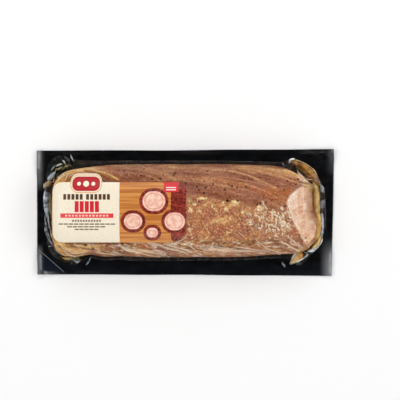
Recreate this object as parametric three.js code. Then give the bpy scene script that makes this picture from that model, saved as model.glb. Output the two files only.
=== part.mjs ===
// A seasoned pork loin fillet, vacuum packed: a black backing web that lies flat, a clear film
// pouch drawn down tightly over the fillet, and a paper label stuck on the film. Millimetres.
// X runs along the pack, Y across its face and Z up out of it. The origin is the middle of the
// underside. The sealed pouch is one solid, film and fillet together.
import * as THREE from "three";
import { mergeVertices } from "three/addons/utils/BufferGeometryUtils.js";

// The pack is 4.6 inches across; the other sizes follow from it in proportion.
const PACK_WIDTH = 116.8;
const PACK_LENGTH = 2.342 * PACK_WIDTH;
const HALF_LENGTH = PACK_LENGTH / 2;
const HALF_WIDTH = PACK_WIDTH / 2;

// The backing web: its film, the area that lies flat inside the seal, and the lift of its rim.
const WEB_THICKNESS = 0.5;
const FLAT_HALF_LENGTH = 131;
const FLAT_HALF_WIDTH = 51;
const RIM_START = 0.8;
const RIM_REACH = 7;
const RIM_RIPPLE = 0.35;
const RIM_LEVEL = 2.05;
const WEB_COLUMNS = 40;
const WEB_ROWS = 20;
const WEB_RIM_COLUMNS = 6;
const WEB_RIM_ROWS = 5;

// The bend of the web's ends near its corners: where it starts along X and how fast it rises,
// and where it starts and how far it spreads across Y. It starts later at the upper right.
const BEND_START = 126;
const BEND_RISE = 0.0236;
const BEND_FROM_Y = 28;
const BEND_FROM_Y_UPPER_RIGHT = 42;
const BEND_SPREAD = 14;

// The peel corner, a crease cut across the lower left corner of the rim.
const PEEL_ALONG = 29;
const PEEL_UP = 25.7;
const PEEL_LIFT = 0.1;

// The fillet: its plan at the widest level, its crown and the shape of its ends and sides.
const LOIN_LEFT = -123.2;
const LOIN_RIGHT = 121.8;
const LOIN_MID = (LOIN_LEFT + LOIN_RIGHT) / 2;
const LOIN_HALF = (LOIN_RIGHT - LOIN_LEFT) / 2;
const CENTRE_Y = 1.6;
const UPPER_HALF = 43.6;
const LOWER_HALF = 43.4;
const CROWN_HEIGHT = 41.5;
const LEFT_BLUNTNESS = 28;
const RIGHT_BLUNTNESS = 16;
const SIDE_ROUNDNESS = 3.1;
const SPINE_INSET = 42;

// The slanted cut face at the right end.
const FACE_FOOT = 117.5;
const FACE_SLOPE = 1.42;
const FACE_CROWN_Y = 7;
const FACE_SWEEP = 0.012;
const FACE_EDGE = 3.5;

// Low relief on the fillet: long muscle seams above, coarse seasoned fat below.
const SEAM_PITCH = 15;
const SEAM_DEPTH = 1.1;
const SEAM_FALL = 0.16;
const COARSE_BUMP = 0.75;

// The film skirt round the foot of the pouch.
const SKIRT_WIDTH = 2.6;
const SKIRT_HEIGHT = 3.2;
const END_SKIRT_WIDTH = 5.6;
const END_SKIRT_HEIGHT = 8;
const STATIONS = 66;
const RINGS = 16;
const SKIRT_RINGS = 5;
const SEAT_GAP = 0.3;

// Where the film stands off the fillet in folds and dog-ears: place, spread along the outline,
// reach past the fillet, and height.
const FOLDS = [
  { name: "upper right ear", x: 101, y: 45, spread: 9, reach: 3.8, height: 11 },
  { name: "upper right corner", x: 116, y: 36, spread: 11, reach: -1.6, height: 6 },
  { name: "right foot strip", x: 123, y: 14, spread: 13, reach: 1.6, height: 5 },
  { name: "right seal strip", x: 123, y: -12, spread: 10, reach: 2.4, height: 4 },
  { name: "lower right ear", x: 104, y: -40, spread: 8, reach: 9, height: 13 },
  { name: "left end tent", x: -124, y: 24, spread: 7, reach: 2.6, height: 13 },
  { name: "upper left crumple", x: -112, y: 41, spread: 9, reach: 7, height: 12 },
  { name: "lower left crumple", x: -104, y: -44, spread: 8, reach: 4.6, height: 9 },
];

// The label: a rectangle with rounded corners and a round-shouldered tab on its upper edge. Its
// lower right corner is lost under wrinkled film.
const LABEL_LEFT = -118.6;
const LABEL_RIGHT = 0.8;
const LABEL_TOP = 27.4;
const LABEL_BOTTOM = -26.4;
const LABEL_THICKNESS = 0.3;
const LABEL_GAP = 0.4;
const LEFT_RADIUS = 8.5;
const RIGHT_RADIUS = 5.5;
const TAB_X = -88;
const TAB_HALF = 14.2;
const TAB_RISE = 8;
const TAB_RADIUS = 7.6;
const LOST_CORNER = 18;
const LOST_RISE = 8;
const LABEL_COLUMNS = 60;
const LABEL_ROWS = 12;

const clamp01 = (v) => Math.min(1, Math.max(0, v));
const mix = (a, b, t) => a + (b - a) * t;
const bell = (v) => Math.exp(-v * v);

function smooth(v) {
  const t = clamp01(v);
  return t * t * (3 - 2 * t);
}

// The lower of two heights, with the edge between them rounded over the given reach.
function softMin(a, b, reach) {
  const t = clamp01(0.5 + (b - a) / (2 * reach));
  return mix(b, a, t) - reach * t * (1 - t);
}

// The higher of two heights, rounded the same way.
const softMax = (a, b, reach) => -softMin(-a, -b, reach);

// The backing web's plan: a rectangle whose four edges wander a little inwards.
function webPoint(a, b) {
  const left = -HALF_LENGTH + 1.2 * (b - 0.55) ** 2 + 1.1 * smooth((0.3 - b) / 0.5);
  const right = HALF_LENGTH - 2.3 * (1 - b) ** 1.6 - 0.4 * smooth((b - 0.9) * 10);
  const top = HALF_WIDTH - 1.4 * (1 - a) - 0.5 * Math.sin(Math.PI * a) * Math.cos(7 * a) ** 2;
  const bottom = -HALF_WIDTH + 1.5 * (1 - a) + 0.35 * Math.sin(Math.PI * a) * Math.sin(9 * a) ** 2;
  return [mix(left, right, a), mix(bottom, top, b)];
}

// How far the web's rim stands above the surface that the pack lies on: a ramp past the flat area
// times its ripple and the peel corner's lift, and the bend of the ends near the corners.
function webLift(x, y) {
  const past = Math.hypot(
    Math.max(0, Math.abs(x) - FLAT_HALF_LENGTH),
    Math.max(0, Math.abs(y) - FLAT_HALF_WIDTH),
  );
  const ramp = smooth((past - RIM_START) / RIM_REACH);
  const ripple = RIM_RIPPLE * (RIM_LEVEL + Math.sin(0.062 * x + 0.8) + Math.sin(0.13 * y + 0.05 * x));
  const fromY = x > 0 && y > 0 ? BEND_FROM_Y_UPPER_RIGHT : BEND_FROM_Y;
  const nearCorner = smooth((Math.abs(y) - fromY) / BEND_SPREAD);
  const bend = BEND_RISE * Math.max(0, Math.abs(x) - BEND_START) ** 2 * nearCorner;
  const peel = (-HALF_LENGTH + PEEL_ALONG - x) / PEEL_ALONG + (-HALF_WIDTH + PEEL_UP - y) / PEEL_UP;
  const peeled = PEEL_LIFT * PEEL_ALONG * Math.max(0, peel - 1);
  return ramp * (ripple + peeled) + bend;
}

// Half the fillet's width above and below its long axis, drawn in towards the right end.
const upperHalf = (x) => UPPER_HALF * (1 - 0.035 * smooth((x - 30) / 75));
const lowerHalf = (x) => {
  const hollow = 0.055 * bell((x + 87) / 9) + 0.02 * bell((x + 60) / 9);
  return LOWER_HALF * (1 - 0.07 * smooth((x - 30) / 80) - hollow);
};
const halfWidth = (x, side) => (side > 0 ? upperHalf(x) : lowerHalf(x));

// The share of the fillet's roundness that its ends use up at X: 0 amidships, 1 at either tip.
function endShare(x) {
  const out = (x - LOIN_MID) / LOIN_HALF;
  return Math.min(1, Math.abs(out)) ** (out < 0 ? LEFT_BLUNTNESS : RIGHT_BLUNTNESS);
}

// The outline of the fillet at X, above (side 1) or below (side -1) the long axis.
function outlineY(x, side) {
  const along = endShare(x);
  return CENTRE_Y + side * halfWidth(x, side) * (1 - along) ** (1 / SIDE_ROUNDNESS);
}

// X of stations spaced evenly along the upper outline from the left tip to the right one.
function outlineStations(count) {
  const fine = 1500;
  const xs = [];
  for (let i = -fine; i <= fine; i++) {
    const fromTip = (1 - Math.abs(i) / fine) ** SIDE_ROUNDNESS;
    xs.push(LOIN_MID + Math.sign(i) * LOIN_HALF * (1 - fromTip));
  }
  const walked = [0];
  for (let i = 1; i < xs.length; i++) {
    const rise = outlineY(xs[i], 1) - outlineY(xs[i - 1], 1);
    walked.push(walked[i - 1] + Math.hypot(xs[i] - xs[i - 1], rise));
  }
  const stations = [];
  let k = 1;
  for (let i = 0; i <= count; i++) {
    const goal = (walked.at(-1) * i) / count;
    while (k < walked.length - 1 && walked[k] < goal) k++;
    const t = clamp01((goal - walked[k - 1]) / (walked[k] - walked[k - 1]));
    stations.push(mix(xs[k - 1], xs[k], t));
  }
  return stations;
}

// The smooth body of the fillet: a dome with blunt ends, cut by the slanted face at the right.
function domeHeight(x, y) {
  const side = y > CENTRE_Y ? 1 : -1;
  const along = endShare(x);
  const across = Math.abs((y - CENTRE_Y) / halfWidth(x, side)) ** SIDE_ROUNDNESS;
  const crown = CROWN_HEIGHT - 2.5 * smooth((x - 40) / 80) - 2 * smooth((-80 - x) / 40);
  const dome = crown * Math.sqrt(Math.max(0, 1 - along - across));
  const foot = FACE_FOOT + FACE_SWEEP * (y - FACE_CROWN_Y) ** 2;
  const face = 5 + (foot - x) * FACE_SLOPE;
  return softMin(dome, Math.max(0, face), FACE_EDGE);
}

// 1 under the label, where the film is pulled flat, falling to 0 a little outside it.
function underLabel(x, y) {
  const across = smooth((LABEL_TOP + 8 - y) / 6) * smooth((y - LABEL_BOTTOM + 4) / 4);
  return across * smooth((LABEL_RIGHT + 5 - x) / 4) * smooth((x - LABEL_LEFT + 6) / 4);
}

// The relief that shows through the film, with its full depth on the crown and none at the foot.
function relief(x, y, height) {
  const seam = (y + SEAM_FALL * x + 4 * Math.sin(0.018 * x)) / SEAM_PITCH;
  const muscle = -SEAM_DEPTH * (1 - Math.abs(Math.sin(Math.PI * seam))) ** 2;
  const coarse = smooth((14 - y) / 8) * smooth((x - 2) / 8) * smooth((108 - x) / 14);
  const bumps =
    Math.sin(0.53 * x + 0.21 * y) * Math.sin(0.17 * x - 0.58 * y + 1.1) +
    0.6 * Math.sin(0.71 * x - 0.42 * y) * Math.sin(0.3 * x + 0.72 * y);
  const onTop = smooth((height - 12) / 14) * (1 - underLabel(x, y));
  return onTop * (mix(muscle, COARSE_BUMP * bumps, coarse) - 0.2);
}

// How wide and high the film skirt is where it leaves the fillet's outline at a point.
function skirtAt(x, y) {
  const end = smooth((Math.abs(x - LOIN_MID) - LOIN_HALF + 14) / 14);
  let width = mix(SKIRT_WIDTH, END_SKIRT_WIDTH, end);
  let height = mix(SKIRT_HEIGHT, END_SKIRT_HEIGHT, end);
  let fold = 0;
  for (const f of FOLDS) {
    const near = bell(Math.hypot(x - f.x, y - f.y) / f.spread);
    width += f.reach * near;
    height += f.height * near;
    fold = Math.max(fold, near);
  }
  return { width, height, fold };
}

// The skirt's height at a share of its way out: a hollow sweep, or a full lobe at a fold.
function skirtHeight(skirt, share) {
  const sweep = (1 - share) ** 2;
  const lobe = Math.sqrt(Math.max(0, 1 - share ** 2.4));
  return skirt.height * mix(sweep, lobe, skirt.fold);
}

// One point of the pouch's surface. Row 0 is the spine, 1 the fillet's outline, past 1 the skirt.
function pouchPoint(x, row, side) {
  const edge = outlineY(x, side);
  const skirt = skirtAt(x, edge);
  if (row > 1) {
    const step = 0.02;
    const slope = (outlineY(x + step, side) - outlineY(x - step, side)) / (2 * step);
    const tip = Math.abs(x - LOIN_MID) > LOIN_HALF - step;
    const out = tip ? [Math.sign(x), 0] : [-slope * side, side];
    const way = (skirt.width * (row - 1)) / Math.hypot(...out);
    return [x + out[0] * way, edge + out[1] * way, skirtHeight(skirt, row - 1)];
  }
  const spineX = Math.min(LOIN_RIGHT - SPINE_INSET, Math.max(LOIN_LEFT + SPINE_INSET, x));
  const px = mix(spineX, x, row);
  const py = mix(CENTRE_Y, edge, row);
  const dome = domeHeight(px, py);
  const drawnUp = skirt.height * mix(row ** 30, smooth((row - 0.62) / 0.38), smooth(px / 60 - 1));
  return [px, py, softMax(dome + relief(px, py, dome), drawnUp, 1.5)];
}

// A closed solid from positions and triangles, with coincident corners merged.
function solidGeometry(positions, indices) {
  const geometry = new THREE.BufferGeometry();
  geometry.setAttribute("position", new THREE.Float32BufferAttribute(positions, 3));
  geometry.setIndex(indices);
  const merged = mergeVertices(geometry, 1e-3);
  const kept = [];
  const index = merged.index.array;
  for (let i = 0; i < index.length; i += 3) {
    const [a, b, c] = [index[i], index[i + 1], index[i + 2]];
    if (a !== b && b !== c && c !== a) kept.push(a, b, c);
  }
  merged.setIndex(kept);
  merged.computeVertexNormals();
  return merged;
}

// The pouch: columns of points from the lower rim over the spine to the upper rim, one column
// for each station, on a flat floor inside the rim.
function pouchGeometry() {
  const rows = [];
  for (let i = 0; i <= RINGS; i++) rows.push(1 - (1 - i / RINGS) ** 1.7);
  for (let i = 1; i <= SKIRT_RINGS; i++) rows.push(1 + i / SKIRT_RINGS);
  const ladder = [...rows.slice(1).reverse().map((r) => [r, -1]), ...rows.map((r) => [r, 1])];
  const base = WEB_THICKNESS + SEAT_GAP;
  const positions = [];
  const stations = outlineStations(STATIONS);
  for (const x of stations) {
    for (const [row, side] of ladder) {
      const [px, py, height] = pouchPoint(x, row, side);
      positions.push(px, py, base + (row < 2 ? Math.max(0.4, height) : 0));
    }
  }
  const across = ladder.length;
  const indices = [];
  for (let i = 0; i < STATIONS; i++) {
    for (let j = 0; j < across - 1; j++) {
      const a = i * across + j;
      const b = a + across;
      indices.push(a, b, b + 1, a, b + 1, a + 1);
    }
  }
  const lower = stations.map((_, i) => i * across);
  const upper = stations.map((_, i) => i * across + across - 1);
  for (let i = 0; i < STATIONS; i++) {
    indices.push(lower[i], upper[i], upper[i + 1], lower[i], upper[i + 1], lower[i + 1]);
  }
  return solidGeometry(positions, indices);
}

// A sheet of one thickness over a grid of plan points, closed at its four edges.
function sheetGeometry(columns, rows, thickness, pointAt) {
  const positions = [];
  for (const lift of [thickness, 0]) {
    for (let i = 0; i <= columns; i++) {
      for (let j = 0; j <= rows; j++) {
        const [x, y, z] = pointAt(i / columns, j / rows);
        positions.push(x, y, z + lift);
      }
    }
  }
  const layer = (columns + 1) * (rows + 1);
  const at = (i, j) => i * (rows + 1) + j;
  const indices = [];
  const quad = (a, b, c, d) => indices.push(a, b, c, a, c, d);
  for (let i = 0; i < columns; i++) {
    for (let j = 0; j < rows; j++) {
      const [a, b, c, d] = [at(i, j), at(i + 1, j), at(i + 1, j + 1), at(i, j + 1)];
      quad(a, b, c, d);
      quad(a + layer, d + layer, c + layer, b + layer);
    }
  }
  for (let i = 0; i < columns; i++) {
    quad(at(i, 0) + layer, at(i + 1, 0) + layer, at(i + 1, 0), at(i, 0));
    quad(at(i + 1, rows) + layer, at(i, rows) + layer, at(i, rows), at(i + 1, rows));
  }
  for (let j = 0; j < rows; j++) {
    quad(at(0, j + 1) + layer, at(0, j) + layer, at(0, j), at(0, j + 1));
    quad(at(columns, j) + layer, at(columns, j + 1) + layer, at(columns, j + 1), at(columns, j));
  }
  return solidGeometry(positions, indices);
}

// Spreads even grid lines so that a share of them at each end falls on the web's rim.
function towardsRim(t, rimLines, rimShare) {
  if (t < rimLines) return (rimShare * t) / rimLines;
  if (t > 1 - rimLines) return 1 - (rimShare * (1 - t)) / rimLines;
  return mix(rimShare, 1 - rimShare, (t - rimLines) / (1 - 2 * rimLines));
}

// The black web, with most of its grid lines on the rim, where it isn't flat.
function webGeometry() {
  const rimAlong = (HALF_LENGTH - BEND_START) / PACK_LENGTH;
  const rimAcross = (HALF_WIDTH - FLAT_HALF_WIDTH) / PACK_WIDTH;
  return sheetGeometry(WEB_COLUMNS, WEB_ROWS, WEB_THICKNESS, (a, b) => {
    const along = towardsRim(a, WEB_RIM_COLUMNS / WEB_COLUMNS, rimAlong);
    const across = towardsRim(b, WEB_RIM_ROWS / WEB_ROWS, rimAcross);
    const [x, y] = webPoint(along, across);
    return [x, y, webLift(x, y)];
  });
}

// How far a rounded corner of a radius takes the label's edge in at a distance from its end.
function cornerCut(fromEnd, radius) {
  const short = Math.max(0, radius - fromEnd);
  return radius - Math.sqrt(Math.max(0, radius * radius - short * short));
}

// The label, laid over the pouch's crown.
function labelGeometry() {
  const base = WEB_THICKNESS + SEAT_GAP + LABEL_GAP;
  return sheetGeometry(LABEL_COLUMNS, LABEL_ROWS, LABEL_THICKNESS, (a, b) => {
    const x = mix(LABEL_LEFT, LABEL_RIGHT, a ** 1.4);
    const left = cornerCut(x - LABEL_LEFT, LEFT_RADIUS);
    const right = cornerCut(LABEL_RIGHT - x, RIGHT_RADIUS);
    const inTab = TAB_HALF - Math.abs(x - TAB_X);
    const tab = inTab > 0 ? TAB_RISE - cornerCut(inTab, TAB_RADIUS) : 0;
    const lost = LOST_RISE * clamp01((x - LABEL_RIGHT + LOST_CORNER) / LOST_CORNER) ** 2.2;
    const y = mix(LABEL_BOTTOM + left + lost, LABEL_TOP - Math.max(left, right) + tab, b);
    return [x, y, base + domeHeight(x, y)];
  });
}

function piece(name, geometry, color, roughness, metalness = 0) {
  const material = new THREE.MeshStandardMaterial({ color, roughness, metalness });
  const mesh = new THREE.Mesh(geometry, material);
  mesh.name = name;
  return mesh;
}

const pack = new THREE.Group();
pack.add(piece("backing_web", webGeometry(), 0x0c0d10, 0.28));
pack.add(piece("film_pouch", pouchGeometry(), 0xb98a6b, 0.22));
pack.add(piece("front_label", labelGeometry(), 0xf2e6cf, 0.4));

export default pack;
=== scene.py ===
"""A vacuum packed seasoned pork loin fillet: its looks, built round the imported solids.

Shapes are worked out with numpy in millimetres, as the solids are, and turn to metres when a mesh
is made. X runs along the pack, Y across its face and Z up out of it. The black web lies flat, the
fillet lies on it under a tight clear film, and a printed label is stuck on the film. Places given
in pixels are those of the photograph, whose camera looks straight down.
"""

import bmesh
import bpy
import numpy as np
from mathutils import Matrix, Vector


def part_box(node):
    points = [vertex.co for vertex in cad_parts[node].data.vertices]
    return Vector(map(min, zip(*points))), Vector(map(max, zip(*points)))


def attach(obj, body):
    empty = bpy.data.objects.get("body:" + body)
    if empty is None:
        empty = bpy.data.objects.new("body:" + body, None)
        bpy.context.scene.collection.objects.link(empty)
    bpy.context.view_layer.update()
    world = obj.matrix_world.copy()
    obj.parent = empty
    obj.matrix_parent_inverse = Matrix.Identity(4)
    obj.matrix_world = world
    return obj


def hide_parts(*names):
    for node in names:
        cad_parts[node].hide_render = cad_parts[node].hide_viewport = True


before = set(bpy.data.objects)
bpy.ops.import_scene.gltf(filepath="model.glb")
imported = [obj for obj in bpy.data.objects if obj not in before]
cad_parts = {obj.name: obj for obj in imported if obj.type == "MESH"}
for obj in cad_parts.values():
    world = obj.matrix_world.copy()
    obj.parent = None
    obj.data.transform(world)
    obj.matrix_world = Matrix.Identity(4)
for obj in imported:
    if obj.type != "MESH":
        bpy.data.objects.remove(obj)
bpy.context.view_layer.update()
MM = 0.001

# The photograph: its side and one pixel's size on the web, and the pixel over the pack's middle.
PHOTO_SIDE = 400
PIXEL = 0.9213
MIDDLE_PX = (185.4, 212.5)
CAMERA_HEIGHT = 1200.0
CAMERA_X = (PHOTO_SIDE / 2 - MIDDLE_PX[0]) * PIXEL
CAMERA_Y = (MIDDLE_PX[1] - PHOTO_SIDE / 2) * PIXEL

# The backing web, with the area that lies flat inside the seal, its rim, the bend of its ends, and
# the peel corner with its crease.
WEB_LOW, WEB_HIGH = (np.array(corner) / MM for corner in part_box("backing_web"))
HALF_LENGTH = (WEB_HIGH[0] - WEB_LOW[0]) / 2
HALF_WIDTH = (WEB_HIGH[1] - WEB_LOW[1]) / 2
WEB_THICKNESS = 0.5
FLAT_HALF_LENGTH = 131
FLAT_HALF_WIDTH = 51
RIM_START = 0.8
RIM_REACH = 7
RIM_RIPPLE = 0.35
RIM_LEVEL = 2.05
BEND_START = 126
BEND_RISE = 0.0236
BEND_FROM_Y = 28
BEND_FROM_Y_UPPER_RIGHT = 42
BEND_SPREAD = 14
PEEL_ALONG = 29
PEEL_UP = 25.7
PEEL_LIFT = 0.1
CREASE_HALF_WIDTH = 0.32
CREASE_HEIGHT = 0.22
CREASE_CLEARANCE = 0.05
TEETH = 75

# The fillet, as the solid has it.
LOIN_LEFT = -123.2
LOIN_RIGHT = 121.8
LOIN_MID = (LOIN_LEFT + LOIN_RIGHT) / 2
LOIN_HALF = (LOIN_RIGHT - LOIN_LEFT) / 2
CENTRE_Y = 1.6
UPPER_HALF = 43.6
LOWER_HALF = 43.4
CROWN_HEIGHT = 41.5
LEFT_BLUNTNESS = 28
RIGHT_BLUNTNESS = 16
SIDE_ROUNDNESS = 3.1
SPINE_INSET = 42
FACE_FOOT = 117.5
FACE_SLOPE = 1.42
FACE_CROWN_Y = 7
FACE_SWEEP = 0.012
FACE_EDGE = 2.2

# The film pouch: what it stands on, its skirt, its gap over the meat and least height, the meat's
# floor above its own, and the folds where it stands off the fillet, as place, spread along the
# outline, reach past the fillet and height.
POUCH_FLOOR = WEB_THICKNESS + 0.15
SKIRT_WIDTH = 2.6
SKIRT_HEIGHT = 3.2
END_SKIRT_WIDTH = 5.6
END_SKIRT_HEIGHT = 8
FILM_GAP = 0.55
LEAST_COVER = 0.4
MEAT_LIFT = 0.3
SKIRT_FOLDS = {
    "upper right ear": (101, 45, 9, 3.8, 11),
    "upper right corner": (116, 36, 11, -1.6, 6),
    "right foot strip": (123, 14, 13, 1.6, 5),
    "right seal strip": (123, -12, 10, 2.4, 4),
    "lower right ear": (104, -40, 8, 9, 13),
    "left end tent": (-124, 24, 7, 2.6, 13),
    "upper left crumple": (-112, 41, 9, 7, 12),
    "lower left crumple": (-104, -44, 8, 4.6, 9),
}

# Where the fillet's own corners are cut, so that only folded film and marinade fill the pouch
# there: lines in plan, what lies left of each being cut off, and the reach of the rounding. Then
# the share of its fall by which a flank is unrolled, for what is painted on it.
CORNER_CUTS = [
    ((96, 39.2), (115, 26.9)),
    ((-121, 25.9), (-110.2, 38.1)),
    ((-110.2, 38.1), (-92, 41.7)),
]
CUT_REACH = 5
FLANK_SHARE = 0.55

# The label, whose lower right corner is lost under wrinkled film.
LABEL_LEFT = -118.6
LABEL_RIGHT = 0.8
LABEL_TOP = 27.4
LABEL_BOTTOM = -26.4
LABEL_GAP = 1.0
LABEL_THICKNESS = 0.25
LEFT_RADIUS = 8.5
RIGHT_RADIUS = 5.5
LOST_CORNER = 18
LOST_RISE = 8
TAB_X = -88
TAB_HALF = 14.2
TAB_RISE = 8
TAB_RADIUS = 7.6
PANEL_EDGE = -58.2

# How finely the pieces are drawn: points along and across a grid or the outline, rows of the
# film's skirt, stations along the folds, and the rows and sides of a pebble.
WEB_POINTS = (188, 260)
MEAT_POINTS = (560, 84)
FILM_POINTS = (460, 62)
SKIRT_ROWS = 16
LABEL_POINTS = (300, 140)
CREASE_STATIONS = 24
FOLD_STATIONS = 22
PILLOW_STATIONS = 34
PEBBLE_ROWS = 6
PEBBLE_SIDES = 7

# Colours as the eye reads them, 0 to 255.
COLOURS = {
    "dark muscle": (106, 54, 32),
    "muscle": (144, 88, 62),
    "pale muscle": (176, 120, 86),
    "mauve": (144, 88, 72),
    "rust": (170, 94, 46),
    "sinew": (208, 156, 110),
    "golden": (190, 130, 84),
    "rosy": (162, 94, 70),
    "cream": (228, 192, 132),
    "lump": (228, 194, 142),
    # Fold, fold shade and fold dark mostly colour the film's pleats, the darker two as painted shade in
    # their creases.
    "fold": (210, 160, 106),
    "fold shade": (142, 86, 52),
    "fold dark": (104, 58, 36),
    "yellow fat": (206, 152, 80),
    "amber": (158, 100, 44),
    "old gold": (182, 150, 84),
    "face": (232, 184, 148),
    "face pale": (242, 208, 180),
    "face rosy": (214, 156, 124),
    "olive": (104, 88, 50),
    "brown": (104, 58, 34),
    # White is mostly painted highlight on the film's folds and at the cut face's edge.
    "white": (250, 236, 214),
    "pink white": (244, 212, 188),
    "film over meat": (250, 230, 198),
    "film past meat": (204, 206, 208),
    # The pale milk of the film's drawn folds and crinkles, painted as their highlight.
    "drawn film": (246, 212, 168),
    "black pepper": (24, 10, 4),
    "brown pepper": (64, 30, 14),
}


def smooth(v):
    """A smooth step: 0 up to 0, 1 from 1, and 3 t squared less 2 t cubed between."""
    t = np.clip(v, 0, 1)
    return t * t * (3 - 2 * t)


def mix(a, b, t):
    return a + (b - a) * t


def bell(v):
    return np.exp(-v * v)


def unit(vectors):
    return vectors / np.maximum(1e-9, np.linalg.norm(vectors, axis=-1, keepdims=True))


def soft_min(a, b, reach):
    """The lower of two heights, with the edge between them rounded over the given reach."""
    t = np.clip(0.5 + (b - a) / (2 * reach), 0, 1)
    return mix(b, a, t) - reach * t * (1 - t)


def soft_max(a, b, reach):
    return -soft_min(-a, -b, reach)


def noise(x, y, pitch, seed):
    """Value noise from -1 to 1: seeded random values on a lattice of the given pitch along X and
    Y, blended between the four nearest ones by the smooth step."""
    side = 256
    table = np.random.default_rng(seed).random((side, side)) * 2 - 1
    u, v = np.broadcast_arrays(x / pitch[0], y / pitch[1])
    i, j = np.floor(u).astype(int), np.floor(v).astype(int)
    across, up = smooth(u - i), smooth(v - j)
    i0, i1, j0, j1 = i % side, (i + 1) % side, j % side, (j + 1) % side
    low = mix(table[i0, j0], table[i1, j0], across)
    high = mix(table[i0, j1], table[i1, j1], across)
    return mix(low, high, up)


def layered(x, y, pitch, seed, share=0.5):
    """Three layers of value noise, each of half the pitch and the given share of the last."""
    total = noise(x, y, pitch, seed)
    total = total + share * noise(x, y, (pitch[0] / 2, pitch[1] / 2), seed + 1)
    return total + share**2 * noise(x, y, (pitch[0] / 4, pitch[1] / 4), seed + 2)


def patches(field, start, reach):
    """1 where a field of noise has risen past the start by the reach."""
    return smooth((field - start) / reach)


def veins(field, width):
    """1 on the lines where a field of noise passes 0, falling as a bell to the width."""
    return bell(field / width)


def slope_of(height, x, y, step=0.3):
    """How steeply a height (a function of X and Y) rises along each of the two, over a step."""
    along_x = (height(x + step, y) - height(x - step, y)) / (2 * step)
    along_y = (height(x, y + step) - height(x, y - step)) / (2 * step)
    return along_x, along_y


def from_photo(px, py, height):
    """The point X, Y of the pack that the camera sees at a pixel, at a height above the web:
    the offset from the camera's axis on the web, shrunk as the height nears the camera."""
    near = (CAMERA_HEIGHT - height) / CAMERA_HEIGHT
    x = CAMERA_X + (np.asarray(px, float) - PHOTO_SIDE / 2) * PIXEL * near
    y = CAMERA_Y + (PHOTO_SIDE / 2 - np.asarray(py, float)) * PIXEL * near
    return x, y


def on_pack(pixels):
    """The points X, Y of the film that the camera sees at pixels (point, px and py), found by
    going to the film's height there six times over."""
    pixels = np.asarray(pixels, float)
    height = 20.0
    for _ in range(6):
        x, y = from_photo(pixels[..., 0], pixels[..., 1], height)
        height = POUCH_FLOOR + np.maximum(LEAST_COVER, dome_height(x, y))
    return np.stack([x, y], -1)


def curve_through(points, count):
    """A smooth path of count points through the given ones, each coordinate a cubic with
    Catmull-Rom slopes, at even steps of the points' own count."""
    p = np.asarray(points, float)
    slopes = np.gradient(p, axis=0)
    t = np.linspace(0, len(p) - 1, count)
    k = np.minimum(t.astype(int), len(p) - 2)
    f = (t - k)[:, None]
    return (
        (2 * f**3 - 3 * f**2 + 1) * p[k]
        + (f**3 - 2 * f**2 + f) * slopes[k]
        + (3 * f**2 - 2 * f**3) * p[k + 1]
        + (f**3 - f**2) * slopes[k + 1]
    )


def closing(count, power):
    """How wide a fold is at its stations, as a share: 0 at both ends, and rounder between them the
    lower the power."""
    return np.sqrt(np.maximum(0, 1 - np.linspace(-1, 1, count) ** power))


def towards_ends(count, even):
    """Steps from 0 to 1 that crowd at both ends by a cosine, evened out by the given share."""
    at = np.linspace(0, 1, count)
    return mix(0.5 - 0.5 * np.cos(np.pi * at), at, even)


# Meshes


def in_scene(name, data, place=(0, 0, 0)):
    """An object with the data given, put into the scene at a place in metres."""
    made = bpy.data.objects.new(name, data)
    made.location = place
    bpy.context.scene.collection.objects.link(made)
    return made


def mesh_object(name, points, faces, marks=None):
    """A piece from points in millimetres and an array of faces, with coincident points merged, so
    that seams and poles are closed. marks are named values or colours, one for each point."""
    mesh = bpy.data.meshes.new(name)
    mesh.vertices.add(len(points))
    mesh.vertices.foreach_set("co", (points * MM).astype(np.float32).ravel())
    mesh.loops.add(faces.size)
    mesh.loops.foreach_set("vertex_index", faces.astype(np.int32).ravel())
    mesh.polygons.add(len(faces))
    starts = np.arange(len(faces), dtype=np.int32) * faces.shape[1]
    mesh.polygons.foreach_set("loop_start", starts)
    mesh.update(calc_edges=True)
    for key, values in (marks or {}).items():
        values = np.asarray(values, np.float32).reshape(len(points), -1)
        if values.shape[1] == 1:
            mesh.attributes.new(key, "FLOAT", "POINT").data.foreach_set("value", values.ravel())
        elif key == "flow":
            layer = mesh.attributes.new(key, "FLOAT_VECTOR", "POINT")
            layer.data.foreach_set("vector", values.ravel())
        else:
            solid = np.concatenate([values, np.ones((len(points), 1), np.float32)], 1)
            layer = mesh.attributes.new(key, "FLOAT_COLOR", "POINT")
            layer.data.foreach_set("color", solid.ravel())
    merged = bmesh.new()
    merged.from_mesh(mesh)
    bmesh.ops.remove_doubles(merged, verts=merged.verts, dist=2e-6)
    bmesh.ops.recalc_face_normals(merged, faces=merged.faces)
    merged.to_mesh(mesh)
    merged.free()
    mesh.polygons.foreach_set("use_smooth", np.ones(len(mesh.polygons), bool))
    return in_scene(name, mesh)


def grid_faces(rows, columns, wrap=False, start=0):
    """Quads between the neighbours of a grid of points, whose columns may close on themselves."""
    i = np.arange(rows - 1)[:, None]
    j = np.arange(columns if wrap else columns - 1)[None, :]
    k = (j + 1) % columns
    corners = [i * columns + j, (i + 1) * columns + j, (i + 1) * columns + k, i * columns + k]
    return start + np.stack(corners, -1).reshape(-1, 4)


def lofts(name, rings, marks=None):
    """A piece of one or more closed bodies, each from rings of points (body, ring, point, X Y Z)
    whose first and last ring draw in to a point or a line."""
    bodies, count, around, _ = rings.shape
    starts = np.arange(bodies)[:, None, None] * count * around
    faces = (grid_faces(count, around, wrap=True)[None] + starts).reshape(-1, 4)
    return mesh_object(name, rings.reshape(-1, 3), faces, marks)


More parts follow.
